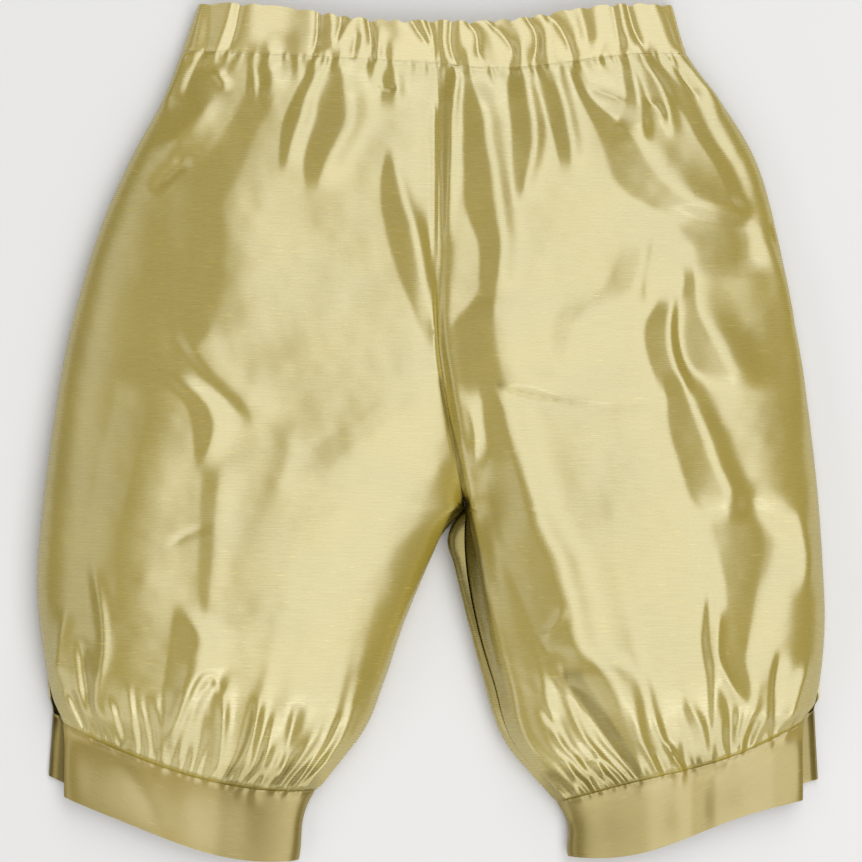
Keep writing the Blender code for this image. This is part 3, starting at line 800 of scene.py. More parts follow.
@dataclass(frozen=True)
class CreaseField:
    """Creases laid over the cloth, looked at from above."""

    creases: tuple[Crease, ...]
    step: float = 2.5          # length between the points that a path is read at
    reach: float = 2.6         # half widths to which a crease is worked out
    taper: float = 0.34        # share of the path in which a crease rises or dies away
    round_power: float = 2.0   # how a rounded crease falls off to its sides
    crisp_loss: float = 0.8    # how much less the power of a sharp one is

    def path_of(self, crease: Crease) -> np.ndarray:
        """A smooth line through a crease's points.

        Args:
            crease: The crease.

        Returns:
            Points on the table, evenly spaced.
        """
        knots = np.array([PHOTO.place(x, y) for x, y in crease.path])
        knots = np.vstack([2 * knots[0] - knots[1], knots, 2 * knots[-1] - knots[-2]])
        points = []
        for a, b, c, d in zip(knots, knots[1:], knots[2:], knots[3:]):
            count = max(2, int(np.linalg.norm(c - b) / self.step))
            u = np.linspace(0.0, 1.0, count, endpoint=False)[:, None]
            bend = (2 * a - 5 * b + 4 * c - d) * u * u + (3 * b - 3 * c + d - a) * u ** 3
            points.append((2 * b + (c - a) * u + bend) / 2)
        return np.vstack([*points, knots[-2]])

    def one(self, crease: Crease, flat: np.ndarray) -> np.ndarray:
        """Height of one crease.

        Args:
            crease: The crease.
            flat: Points on the table, one a row.

        Returns:
            Heights at the points.
        """
        path = self.path_of(crease)
        runs = np.diff(path, axis=0)
        lengths = np.linalg.norm(runs, axis=1)
        starts = np.concatenate([[0.0], np.cumsum(lengths)])
        nearest = np.full(len(flat), np.inf)
        side = np.zeros(len(flat))
        share = np.zeros(len(flat))
        for a, run, length, start in zip(path, runs, lengths, starts):
            offset = flat - a
            u = np.clip(offset @ run / length ** 2, 0.0, 1.0)
            away = offset - u[:, None] * run
            distance = np.hypot(away[:, 0], away[:, 1])
            closer = distance < nearest
            nearest = np.where(closer, distance, nearest)
            turn = away[:, 0] * run[1] - away[:, 1] * run[0]
            side = np.where(closer, np.sign(turn), side)
            share = np.where(closer, (start + u * length) / starts[-1], share)
        width = crease.width + (crease.end_width - crease.width) * share
        scaled = nearest / (width * (1 - crease.skew * side))
        power = self.round_power - self.crisp_loss * crease.crisp
        rising = crease.start + (1 - crease.start) * ease(share, 0.0, self.taper)
        dying = crease.end + (1 - crease.end) * ease(1 - share, 0.0, self.taper)
        return crease.height * rising * dying * np.exp(-(scaled ** power))

    def heights(self, places: Places) -> np.ndarray:
        """Height of all the creases together.

        Args:
            places: Points of the cloth, in any grid of three coordinates.

        Returns:
            Heights in the same grid.
        """
        flat = places[..., :2].reshape(-1, 2)
        total = np.zeros(len(flat))
        for crease in self.creases:
            knots = np.array([PHOTO.place(x, y) for x, y in crease.path])
            margin = self.reach * max(crease.width, crease.end_width) * (1 + abs(crease.skew))
            low, high = knots.min(0) - margin, knots.max(0) + margin
            near = np.all((flat > low) & (flat < high), axis=1)
            if near.any():
                total[near] += self.one(crease, flat[near])
        return total.reshape(places.shape[:-1])


@dataclass(frozen=True)
class FlankField:
    """Flanks laid over the cloth, looked at from above."""

    flanks: tuple[Flank, ...]
    soft: float = 0.2          # share of a flank's width in which its slope grows or dies away
    highest: float = 6.5       # height that no flank passes, in millimetres
    fade: float = 14.0         # pixels in which a flank grows or dies away at its ends
    row_gap: float = 2.0       # pixels between the rows on which the edges are rounded
    rounding: int = 9          # rows over which they are rounded
    samples: int = 65          # points at which the slope across a flank is added up
    edge_room: float = 4.0     # pixels to the left of a flank that it still reaches
    tail: float = 3.0          # falls past the right edge to which it is worked out

    def edges(self, flank: Flank) -> tuple[np.ndarray, np.ndarray, np.ndarray]:
        """Rounds a flank's edges.

        Args:
            flank: The flank.

        Returns:
            Rows in pixels from the top, and the left and right edge on each.
        """
        knots, lefts, rights = (np.array(part, float) for part in zip(*flank.rows))
        rows = np.arange(knots[0] - 2 * self.fade, knots[-1] + 2 * self.fade, self.row_gap)
        kernel = np.ones(self.rounding) / self.rounding
        rounded = []
        for edge in (lefts, rights):
            dense = np.pad(np.interp(rows, knots, edge), self.rounding // 2, mode="edge")
            rounded.append(np.convolve(dense, kernel, mode="valid"))
        return rows, rounded[0], rounded[1]

    def one(self, flank: Flank, x: np.ndarray, y: np.ndarray) -> np.ndarray:
        """Height of one flank.

        Args:
            flank: The flank.
            x: Pixels from the left edge, one a point.
            y: Pixels from the top edge.

        Returns:
            Heights at the points.
        """
        rows, lefts, rights = self.edges(flank)
        left, right = np.interp(y, rows, lefts), np.interp(y, rows, rights)
        width = right - left
        u = np.linspace(0.0, 1.0, self.samples)
        climb = np.cumsum(ease(u, 0.0, self.soft) * ease(1 - u, 0.0, self.soft))
        climb = np.interp((x - left) / width, u, climb / climb[-1])
        past = np.maximum(x - right, 0.0) / flank.fall
        rise = width * PHOTO.pixel * math.tan(math.radians(flank.tilt))
        rise = self.highest * np.tanh(rise / self.highest)
        first, last = flank.rows[0][0], flank.rows[-1][0]
        grown = flank.start + (1 - flank.start) * ease(y, first - self.fade, first + self.fade)
        dying = flank.end + (1 - flank.end) * ease(last - y, -self.fade, self.fade)
        grown *= ease(y, first - 2 * self.fade, first - self.fade / 2)
        dying *= ease(last - y, -2 * self.fade, -self.fade / 2)
        return rise * climb * np.exp(-(past ** 2)) * grown * dying

    def heights(self, places: Places) -> np.ndarray:
        """Height of all the flanks together.

        Args:
            places: Points of the cloth, in any grid of three coordinates.

        Returns:
            Heights in the same grid.
        """
        x, y = PHOTO.pixels(places)
        total = np.zeros(x.shape)
        for flank in self.flanks:
            _, lefts, rights = (np.array(part, float) for part in zip(*flank.rows))
            near = (x > lefts.min() - self.edge_room) & (x < rights.max() + self.tail * flank.fall)
            near &= (y > flank.rows[0][0] - 2 * self.fade) & (y < flank.rows[-1][0] + 2 * self.fade)
            if near.any():
                total[near] += self.one(flank, x[near], y[near])
        return total


@dataclass(frozen=True)
class GatherRange:
    """How much single gathers differ: lowest and highest share of the mean."""

    wander: tuple[float, float] = (-0.32, 0.32)   # sideways, in shares of the pitch
    tallness: tuple[float, float] = (0.35, 1.25)
    length: tuple[float, float] = (0.45, 1.5)
    width: tuple[float, float] = (0.75, 1.35)
    lean: tuple[float, float] = (-0.22, 0.22)     # sideways run for each length of cloth


@dataclass(frozen=True)
class Gathers:
    """Uneven gathers that run into a panel from a seam."""

    station: float         # seam that they start at
    inward: float          # 1 where they run down from it, -1 where they run up
    pitch: float           # distance between two crests at the seam, in millimetres
    height: float
    length: float          # mean length in which they die away
    width: float           # half width of a crest at the seam
    seed: int
    spread: float = 0.9    # growth of the width over a gather's length
    overrun: float = 1.4   # length in which a gather dies away across the seam
    widest: float = 2.0    # lengths from the seam after which it grows no wider
    falloff: float = 1.6   # how it dies away down its length
    fewest: int = 3
    ranges: GatherRange = GatherRange()

    def heights(self, cloth: Cloth) -> np.ndarray:
        """Height of the gathers over a panel.

        Args:
            cloth: The panel's cloth.

        Returns:
            Rows by columns.
        """
        draw = np.random.default_rng(self.seed)
        deep = np.abs(cloth.below(self.station))
        beyond = cloth.below(self.station) * self.inward < 0
        at_seam = float(np.interp(self.station, cloth.stations, cloth.arcs))
        count = max(self.fewest, round(at_seam / self.pitch))
        total = np.zeros((len(cloth.stations), len(cloth.shares)))
        for number in range(count):
            middle = (number + 0.5 + draw.uniform(*self.ranges.wander)) / count
            tall = self.height * draw.uniform(*self.ranges.tallness)
            length = self.length * draw.uniform(*self.ranges.length)
            width = self.width * draw.uniform(*self.ranges.width)
            lean = draw.uniform(*self.ranges.lean)
            past = deep / length
            wide = width * (1 + self.spread * np.minimum(past, self.widest))
            offset = (cloth.shares[None, :] - middle) * cloth.arcs[:, None] - lean * deep
            level = math.sqrt(math.pi) * wide / cloth.arcs[:, None]   # mean height of the crest
            crest = np.exp(-((offset / wide) ** 2)) - level
            total += tall * crest * np.exp(-(past ** self.falloff))
        over_seam = 0.5 * np.exp(-((deep / self.overrun) ** 2))
        into_panel = 0.5 + 0.5 * ease(deep, 0.0, 2 * self.overrun)
        return total * np.where(beyond, over_seam, into_panel)


@dataclass(frozen=True)
class Crumple:
    """Slow unevenness of the cloth, from a lattice of random heights with smooth joins."""

    cell: float            # distance between two lattice points, in millimetres
    height: float
    seed: int
    lean: float = 0.0      # how far the lattice is sheared
    points: int = 64       # points along each side of the lattice, which repeats after them

    def heights(self, places: Places) -> np.ndarray:
        """Height over a grid.

        Args:
            places: Points of the cloth.

        Returns:
            Heights in the same grid.
        """
        size = self.points
        lattice = np.random.default_rng(self.seed).uniform(-1.0, 1.0, (size, size))
        x = places[..., 0] / self.cell + self.lean * places[..., 1] / self.cell
        y = places[..., 1] / self.cell + places[..., 2] / self.cell
        column, row = np.floor(x).astype(int), np.floor(y).astype(int)
        u, v = x - column, y - row
        u, v = u * u * u * (u * (6 * u - 15) + 10), v * v * v * (v * (6 * v - 15) + 10)

        def corner(right: int, up: int) -> np.ndarray:
            """Random height at a corner of each point's cell."""
            return lattice[(column + right) % size, (row + up) % size]

        low = corner(0, 0) * (1 - u) + corner(1, 0) * u
        high = corner(0, 1) * (1 - u) + corner(1, 1) * u
        return self.height * (low * (1 - v) + high * v)


@dataclass(frozen=True)
class Relief:
    """Everything that moves a panel's cloth off the plain form."""

    side: Side
    face: Face
    inner_fade: float = 2.2    # length in which relief dies out at the inner seam
    outer_fade: float = 5.0    # the same at the side seam
    seam_dip: float = 0.45     # depth of the soft groove along a stitched seam
    dip_width: float = 1.1
    full: float = 0.9          # most that the leg stands over the knee band's edge
    full_at: float = 1.9       # distance of that fullness from the band
    full_run: float = 6.5      # length in which it dies out up the leg
    full_from: float = -0.5    # distance at which it begins, inside the band
    step: float = 1.3          # how far the back lies below the right front's fold at the inseam
    step_edge: float = 1.3     # length in which the front turns down to it
    step_reach: float = 9.0    # length in which the back comes up again
    step_grows: tuple[float, float] = (0.68, 0.74)     # stations between which the step begins
    step_ends: tuple[float, float] = (0.90, 0.985)     # stations between which it dies away
    held: float = 2.0          # length of cloth that a seam holds smooth
    loose: float = 30.0        # distance from a seam at which the cloth is wholly loose
    held_share: float = 0.25   # share of the crumples that a seam leaves

    def layers(self) -> tuple[CreaseField | FlankField, ...]:
        """Listed folds that can reach this panel.

        Returns:
            The fields of creases and flanks.
        """
        if self.face is Face.BACK:
            return ()
        shared = (CreaseField(CASING_CREASES), CreaseField(BAND_CREASES))
        if self.side is Side.LEFT:
            return (*shared, CreaseField(LEFT_LEG_CREASES), FlankField(LEFT_LEG_FLANKS))
        return (*shared, CreaseField(RIGHT_LEG_CREASES), FlankField(RIGHT_LEG_FLANKS))

    def gathers(self) -> tuple[Gathers, ...]:
        """Gathers along this panel's seams.

        Returns:
            The rows of gathers.
        """
        seed = GATHER_SEED + SIDE_SEEDS * self.side.value
        if self.face is Face.BACK:
            return (
                Gathers(WAIST_SEAM, 1, 10.0, 1.7, 34.0, 2.6, seed + 1),
                Gathers(KNEE_SEAM, -1, 7.0, 1.3, 22.0, 2.1, seed + 2),
            )
        return (
            Gathers(WAIST_SEAM, 1, 7.0, 0.55, 12.0, 1.7, seed + 3),
            Gathers(WAIST_SEAM, 1, 3.4, 0.42, 4.5, 0.9, seed + 6, overrun=2.2),
            Gathers(KNEE_SEAM, -1, 6.0, 1.55, 20.0, 1.7, seed + 4),
            Gathers(KNEE_SEAM, -1, 2.6, 0.5, 6.0, 0.9, seed + 5),
        )

    def crumples(self) -> tuple[Crumple, ...]:
        """Slow unevenness of this panel.

        Returns:
            The layers.
        """
        seed = CRUMPLE_SEED + self.side.value + (BACK_SEEDS if self.face is Face.BACK else 0)
        return (
            Crumple(34.0, 0.45, seed, 0.35),
            Crumple(15.0, 0.16, seed + 100, -0.4),
            Crumple(6.5, 0.07, seed + 200, 0.2),
        )

    def heights(self, cloth: Cloth) -> np.ndarray:
        """How far the relief moves each point out of the garment.

        Args:
            cloth: The panel's plain cloth.

        Returns:
            Rows by columns.
        """
        total = sum(layer.heights(cloth.places) for layer in self.layers())
        total = total + sum(row.heights(cloth) for row in self.gathers())
        loose = ease(cloth.below(WAIST_SEAM), self.held, self.loose)
        loose = loose * ease(-cloth.below(KNEE_SEAM), self.held, self.loose)
        soft = self.held_share + (1 - self.held_share) * loose
        total = total + soft * sum(layer.heights(cloth.places) for layer in self.crumples())
        fade = ease(cloth.reach_in(), 0.0, self.inner_fade)
        fade = fade * ease(cloth.reach_out(), 0.0, self.outer_fade)
        dip = sum(
            np.exp(-((cloth.below(station) / self.dip_width) ** 2))
            for station in (WAIST_SEAM, KNEE_SEAM)
        )
        total = total + self.bulge(cloth)
        return total * fade - self.seam_dip * dip - self.fold_step(cloth)

    def bulge(self, cloth: Cloth) -> np.ndarray:
        """Fullness of the gathered leg just above its knee band.

        Args:
            cloth: The panel's plain cloth.

        Returns:
            Heights, rows by columns.
        """
        above = -cloth.below(KNEE_SEAM)
        if self.face is Face.BACK:
            return np.zeros((len(above), 1))
        return self.full * np.where(
            above < self.full_at,
            ease(above, self.full_from, self.full_at),
            np.exp(-(((above - self.full_at) / self.full_run) ** 2)),
        )

    def fold_step(self, cloth: Cloth) -> np.ndarray:
        """Drop from the right front's fold to the back under it, along the inseam.

        Args:
            cloth: The panel's plain cloth.

        Returns:
            Depths, rows by columns.
        """
        reach = cloth.reach_in()
        if self.side is Side.LEFT:
            return np.zeros(reach.shape)
        run = cloth.stations[:, None]
        depth = self.step * ease(run, *self.step_grows) * (1 - ease(run, *self.step_ends))
        if self.face is Face.FRONT:
            return depth * np.exp(-((reach / self.step_edge) ** 2))
        return depth * (1 - ease(reach, 0.0, self.step_reach))


class ClothWall:
    """A closed shell of cloth between two grids of points."""

    SHARP = 60.0           # angle above which an edge is drawn sharp, in degrees

    def __init__(self, name: str, outer: Places, inner: Places, spans: np.ndarray) -> None:
        """Keeps the grids.

        Args:
            name: Name of the piece.
            outer: Outer points in millimetres, rows by columns.
            inner: Inner points.
            spans: Lengths across and along the cloth at each point, in millimetres.
        """
        self.name = name
        self.outer = outer
        self.inner = inner
        self.spans = spans

    def build(self, finish: bpy.types.Material) -> bpy.types.Object:
        """Makes the shell's object.

        Args:
            finish: Material of the piece.

        Returns:
            The object, with its own cloth coordinates in metres.
        """
        mesh = bmesh.new()
        spans, shade = self.shape(mesh)
        bmesh.ops.recalc_face_normals(mesh, faces=mesh.faces[:])
        if mesh.calc_volume(signed=True) < 0:
            bmesh.ops.reverse_faces(mesh, faces=mesh.faces[:])
        data = bpy.data.meshes.new(self.name)
        mesh.to_mesh(data)
        mesh.free()
        corners = np.empty(len(data.loops), np.int32)
        data.loops.foreach_get("vertex_index", corners)
        layer = data.uv_layers.new(name=CLOTH_MAP)
        layer.data.foreach_set("uv", (spans[corners] * MM).astype(np.float32).ravel())
        # Painted shade, which the material reads to darken the colour.
        deep = data.attributes.new(SHADE, "FLOAT", "POINT")
        deep.data.foreach_set("value", shade.astype(np.float32))
        data.shade_smooth()
        data.set_sharp_from_angle(angle=math.radians(self.SHARP))
        data.materials.append(finish)
        piece = bpy.data.objects.new(self.name, data)
        bpy.context.scene.collection.objects.link(piece)
        LOG.info("%s: %d faces", self.name, len(data.polygons))
        return piece

    def shape(self, mesh: bmesh.types.BMesh) -> tuple[np.ndarray, np.ndarray]:
        """Fills an empty mesh with the closed shell.

        Args:
            mesh: The mesh.

        Returns:
            Lengths across and along the cloth, and the painted shade, one row a vertex.
        """
        rows, columns = self.outer.shape[:2]
        bmesh.ops.create_grid(mesh, x_segments=columns - 1, y_segments=rows - 1, size=0.5)
        made = bmesh.ops.extrude_face_region(mesh, geom=mesh.faces[:])
        lifted = {item for item in made["geom"] if isinstance(item, bmesh.types.BMVert)}
        mesh.verts.index_update()
        spans = np.empty((len(mesh.verts), 2))
        shade = np.empty(len(mesh.verts))
        shades = shade_of(self.outer)
        for vertex in mesh.verts:
            column = round((vertex.co.x + 0.5) * (columns - 1))
            row = round((vertex.co.y + 0.5) * (rows - 1))
            place = (self.inner if vertex in lifted else self.outer)[row, column]
            spans[vertex.index] = self.spans[row, column]
            shade[vertex.index] = shades[row, column]
            vertex.co = (place - MIDPOINT) * MM
        return spans, shade


def shade_of(places: Places) -> np.ndarray:
    """How much painted shade darkens the cloth's colour, from the shadows listed above.

    Args:
        places: Points of the cloth, in any grid of three coordinates.

    Returns:
        Depths from 0 to 1 in the same grid.
    """
    x, y = PHOTO.pixels(places)
    total = np.zeros(x.shape)
    for shadow in SHADOWS:
        knots, lefts, rights = (np.array(part, float) for part in zip(*shadow.rows))
        left, right = np.interp(y, knots, lefts), np.interp(y, knots, rights)
        inside = ease(x, left - shadow.edge, left)
        inside *= 1 - ease(x, right, right + shadow.edge)
        inside *= ease(y, knots[0] - SHADOW_REACH, knots[0])
        inside *= 1 - ease(y, knots[-1], knots[-1] + SHADOW_REACH)
        share = np.clip((y - knots[0]) / (knots[-1] - knots[0]), 0.0, 1.0)
        inside *= places[..., 2] < shadow.under
        total = np.maximum(total, inside * shadow.depth * (1 + (shadow.end - 1) * share))
    return total


def dressed(cloth: Cloth, side: Side, face: Face, wall: float) -> tuple[Places, Places, np.ndarray]:
    """Lays the relief over a panel's cloth.

    Args:
        cloth: The plain cloth.
        side: Side of the garment.
        face: Upper or under half.
        wall: Thickness.

    Returns:
        Outer points, inner points, and lengths across and along the cloth.
    """
    shift = Relief(side, face).heights(cloth)
    if face is Face.BACK:
        lifted = ease(cloth.places[..., 2], 0.0, LIFTED)
        shift = np.where(shift > 0, shift * lifted, shift)
    outer = cloth.places + cloth.outwards * shift[..., None]
    inner = cloth.places + cloth.outwards * (shift - wall)[..., None]
    sunk = np.minimum(outer[..., 2], 0.0)
    outer[..., 2] -= sunk
    inner[..., 2] -= sunk
    across = cloth.reach_in() * side.value
    down = np.broadcast_to(cloth.below(WAIST_SEAM), across.shape)
    return outer, inner, np.stack([across, down], axis=-1)


def joined(first: Sequence[np.ndarray], second: Sequence[np.ndarray]) -> list[np.ndarray]:
    """Joins the grids of two halves at the inner seam.

    Args:
        first: Grids of one half, from the inner seam out.
        second: The same grids of the other half.

    Returns:
        The grids of the whole, from the first half's outer end to the second's.
    """
    return [np.concatenate([a[:, ::-1], b[:, 1:]], axis=1) for a, b in zip(first, second)]


def stations_between(first: float, last: float, count: int, trim: tuple[bool, bool]) -> np.ndarray:
    """Stations of a piece's rows, drawn back by half a gap at a seam.

    Args:
        first: Upper station.
        last: Lower station.
        count: Faces between them.
        trim: Whether the upper and the lower end is a seam.

    Returns:
        The stations.
    """
    gap = SEAM_GAP / 2 / WAIST_TO_KNEE
    even = np.linspace(0.0, 1.0, count + 1)
    share = even - ROW_CROWDING * np.sin(2 * np.pi * even) / (2 * np.pi)
    start, stop = first + gap * trim[0], last - gap * trim[1]
    return start + (stop - start) * share


@dataclass(frozen=True)
class SheetCut:
    """Size that a piece was cut to, in metres and square metres."""

    width: float
    length: float
    area: float


@dataclass(frozen=True)
class PanelSizes:
    """Grid of a leg panel and the size of its cut."""

    columns: int
    rows: int
    cut: SheetCut


@dataclass(frozen=True)
class TrouserPanel:
    """A front or back panel, from the waist seam to the knee band."""

    side: Side
    face: Face
    sizes: PanelSizes

    def build(self, finish: bpy.types.Material) -> bpy.types.Object:
        """Makes the panel.

        Args:
            finish: Its material.

        Returns:
            The panel's object.
        """
        form = PuffedForm(self.side, self.face)
        stations = stations_between(WAIST_SEAM, KNEE_SEAM, self.sizes.rows, (True, True))
        cloth = form.cloth(stations, self.sizes.columns)
        grids = dressed(cloth, self.side, self.face, SILK_WALL)
        node = f"{self.face.value}_{self.side.word}"
        piece = ClothWall(f"silk_{node}", *grids).build(finish)
        return declared(piece, node)


def notched(places: Places, cloth: Cloth) -> Places:
    """Draws down the casing's top edge between its pleats.

    Args:
        places: Points of the casing.
        cloth: The plain cloth under them.

    Returns:
        The moved points.
    """
    x, _ = PHOTO.pixels(places)
    drop = sum(notch.depth * np.exp(-(((x - notch.x) / notch.width) ** 2)) for notch in NOTCHES)
    near = 1 - ease(cloth.below(WAIST_TOP), 0.0, NOTCH_REACH)
    moved = places.copy()
    moved[..., 1] -= drop * near
    return moved


@dataclass(frozen=True)
class Waistband:
    """Half of the gathered casing, from side seam to side seam."""

    face: Face
    sizes: PanelSizes

    def build(self, finish: bpy.types.Material) -> bpy.types.Object:
        """Makes the casing's half.

        Args:
            finish: Its material.

        Returns:
            The casing's object.
        """
        stations = stations_between(WAIST_TOP, WAIST_SEAM, self.sizes.rows, (False, True))
        halves = []
        for side in Side:
            cloth = PuffedForm(side, self.face).cloth(stations, self.sizes.columns)
            outer, inner, spans = dressed(cloth, side, self.face, CASING_WALL)
            halves.append((notched(outer, cloth), notched(inner, cloth), spans))
        node = f"waistband_{self.face.value}"
        piece = ClothWall(f"silk_{node}", *joined(*halves)).build(finish)
        return declared(piece, node)


@dataclass(frozen=True)
class KneeBand:
    """Folded band round the knee, open at the side slit."""

    side: Side
    sizes: PanelSizes

    def build(self, finish: bpy.types.Material) -> bpy.types.Object:
        """Makes the band.

        Args:
            finish: Its material.

        Returns:
            The band's object.
        """
        stations = stations_between(KNEE_SEAM, HEM, self.sizes.rows, (True, False))
        halves = []
        for face in Face:
            cloth = PuffedForm(self.side, face).cloth(stations, self.sizes.columns)
            halves.append(dressed(cloth, self.side, face, BAND_WALL))
        node = f"knee_band_{self.side.word}"
        piece = ClothWall(f"silk_{node}", *joined(*halves)).build(finish)
        return declared(piece, node)


def declared(
    piece: bpy.types.Object, node: str
) -> bpy.types.Object:
    """Hangs a piece of cloth on the root body and hides the solid that it replaces.

    Args:
        piece: The cloth.
        node: Solid that it replaces.

    Returns:
        The same piece.
    """
    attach(piece, "root")
    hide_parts(node)
    return piece


@dataclass(frozen=True)
class DupionFinish:
    """Gold silk dupion: colours, sheen and weave."""

    name: str
    gold: tuple[float, float, float]
    roughness: float
    ior: float = 2.8
    tint: tuple[float, float, float] = (0.94, 1.0, 0.93)   # colour of the sheen
    stretch: float = 0.45      # how far the sheen is drawn out along the weft
    relief: float = 0.22       # strength of the threads' relief
    thread: float = 0.00012    # height of a thread, in metres

    def build(self, weave: bpy.types.NodeTree) -> bpy.types.Material:
        """Makes the material.

        Args:
            weave: The shared group of weave and painted shade.

        Returns:
            The material.
        """
        finish = bpy.data.materials.new(self.name)
        finish.use_nodes = True
        nodes, links = finish.node_tree.nodes, finish.node_tree.links
        shader = nodes["Principled BSDF"]
        shader.inputs["IOR"].default_value = self.ior
        shader.inputs["Specular Tint"].default_value = (*self.tint, 1.0)
        shader.inputs["Anisotropic"].default_value = self.stretch

        place = nodes.new("ShaderNodeUVMap")
        place.uv_map = CLOTH_MAP
        group = nodes.new("ShaderNodeGroup")
        group.node_tree = weave
        group.inputs["Colour"].default_value = (*self.gold, 1.0)
        group.inputs["Roughness"].default_value = self.roughness
        links.new(place.outputs["UV"], group.inputs["Place"])
        # Painted shade from the piece's shade attribute.
        shade = nodes.new("ShaderNodeAttribute")
        shade.attribute_name = SHADE
        links.new(shade.outputs["Fac"], group.inputs["Shade"])
        links.new(group.outputs["Colour"], shader.inputs["Base Color"])
        links.new(group.outputs["Roughness"], shader.inputs["Roughness"])
        links.new(group.outputs["Metallic"], shader.inputs["Metallic"])
        bump = nodes.new("ShaderNodeBump")
        bump.inputs["Strength"].default_value = self.relief
        bump.inputs["Distance"].default_value = self.thread
        links.new(group.outputs["Relief"], bump.inputs["Height"])
        links.new(bump.outputs["Normal"], shader.inputs["Normal"])
        tangent = nodes.new("ShaderNodeTangent")
        tangent.direction_type = "UV_MAP"
        tangent.uv_map = CLOTH_MAP
        links.new(tangent.outputs["Tangent"], shader.inputs["Tangent"])
        return finish


class ShaderSteps:
    """Steps of a shader group, each a node whose result is a socket."""

    def __init__(self, tree: bpy.types.NodeTree, place: bpy.types.NodeSocket) -> None:
        """Keeps the group's tree and the socket with the place on the cloth, in metres."""
        self.tree = tree
        self.place = place

    def noise(self, across: float, down: float, detail: float) -> bpy.types.NodeSocket:
        """Makes noise stretched over cells.

        Args:
            across: Width of a cell, in millimetres.
            down: Height of a cell.
            detail: Layers of finer noise.

        Returns:
            The noise.
        """
        scale = self.tree.nodes.new("ShaderNodeVectorMath")
        scale.operation = "MULTIPLY"
        scale.inputs[1].default_value = (1 / (MM * across), 1 / (MM * down), 1.0)
        self.tree.links.new(self.place, scale.inputs[0])
        cloud = self.tree.nodes.new("ShaderNodeTexNoise")
        cloud.inputs["Scale"].default_value = 1.0
        cloud.inputs["Detail"].default_value = detail
        self.tree.links.new(scale.outputs["Vector"], cloud.inputs["Vector"])
        return cloud.outputs["Fac"]

    def sum(self, first: Value, second: Value) -> bpy.types.NodeSocket:
        """Adds two sockets or numbers."""
        return self.arithmetic("ADD", first, second)

    def product(self, first: Value, second: Value) -> bpy.types.NodeSocket:
        """Multiplies two sockets or numbers."""
        return self.arithmetic("MULTIPLY", first, second)

    def arithmetic(self, kind: str, first: Value, second: Value) -> bpy.types.NodeSocket:
        """Makes one step of arithmetic.

        Args:
            kind: Name of the operation.
            first: Socket or number.
            second: Socket or number.

        Returns:
            The result.
        """
        step = self.tree.nodes.new("ShaderNodeMath")
        step.operation = kind
        for socket, value in zip(step.inputs, (first, second)):
            if isinstance(value, (int, float)):
                socket.default_value = value
            else:
                self.tree.links.new(value, socket)
        return step.outputs["Value"]

    def ranged(
        self, value: bpy.types.NodeSocket, given: tuple[float, float], wanted: tuple[float, float]
    ) -> bpy.types.NodeSocket:
        """Moves a value from one range to another and holds it inside it.

        Args:
            value: The value.
            given: Range that it comes in.
            wanted: Range that it goes to.

        Returns:
            The moved value.
        """
        step = self.tree.nodes.new("ShaderNodeMapRange")
        for number, put in enumerate((*given, *wanted), start=1):
            step.inputs[number].default_value = put
        self.tree.links.new(value, step.inputs["Value"])
        return step.outputs["Result"]


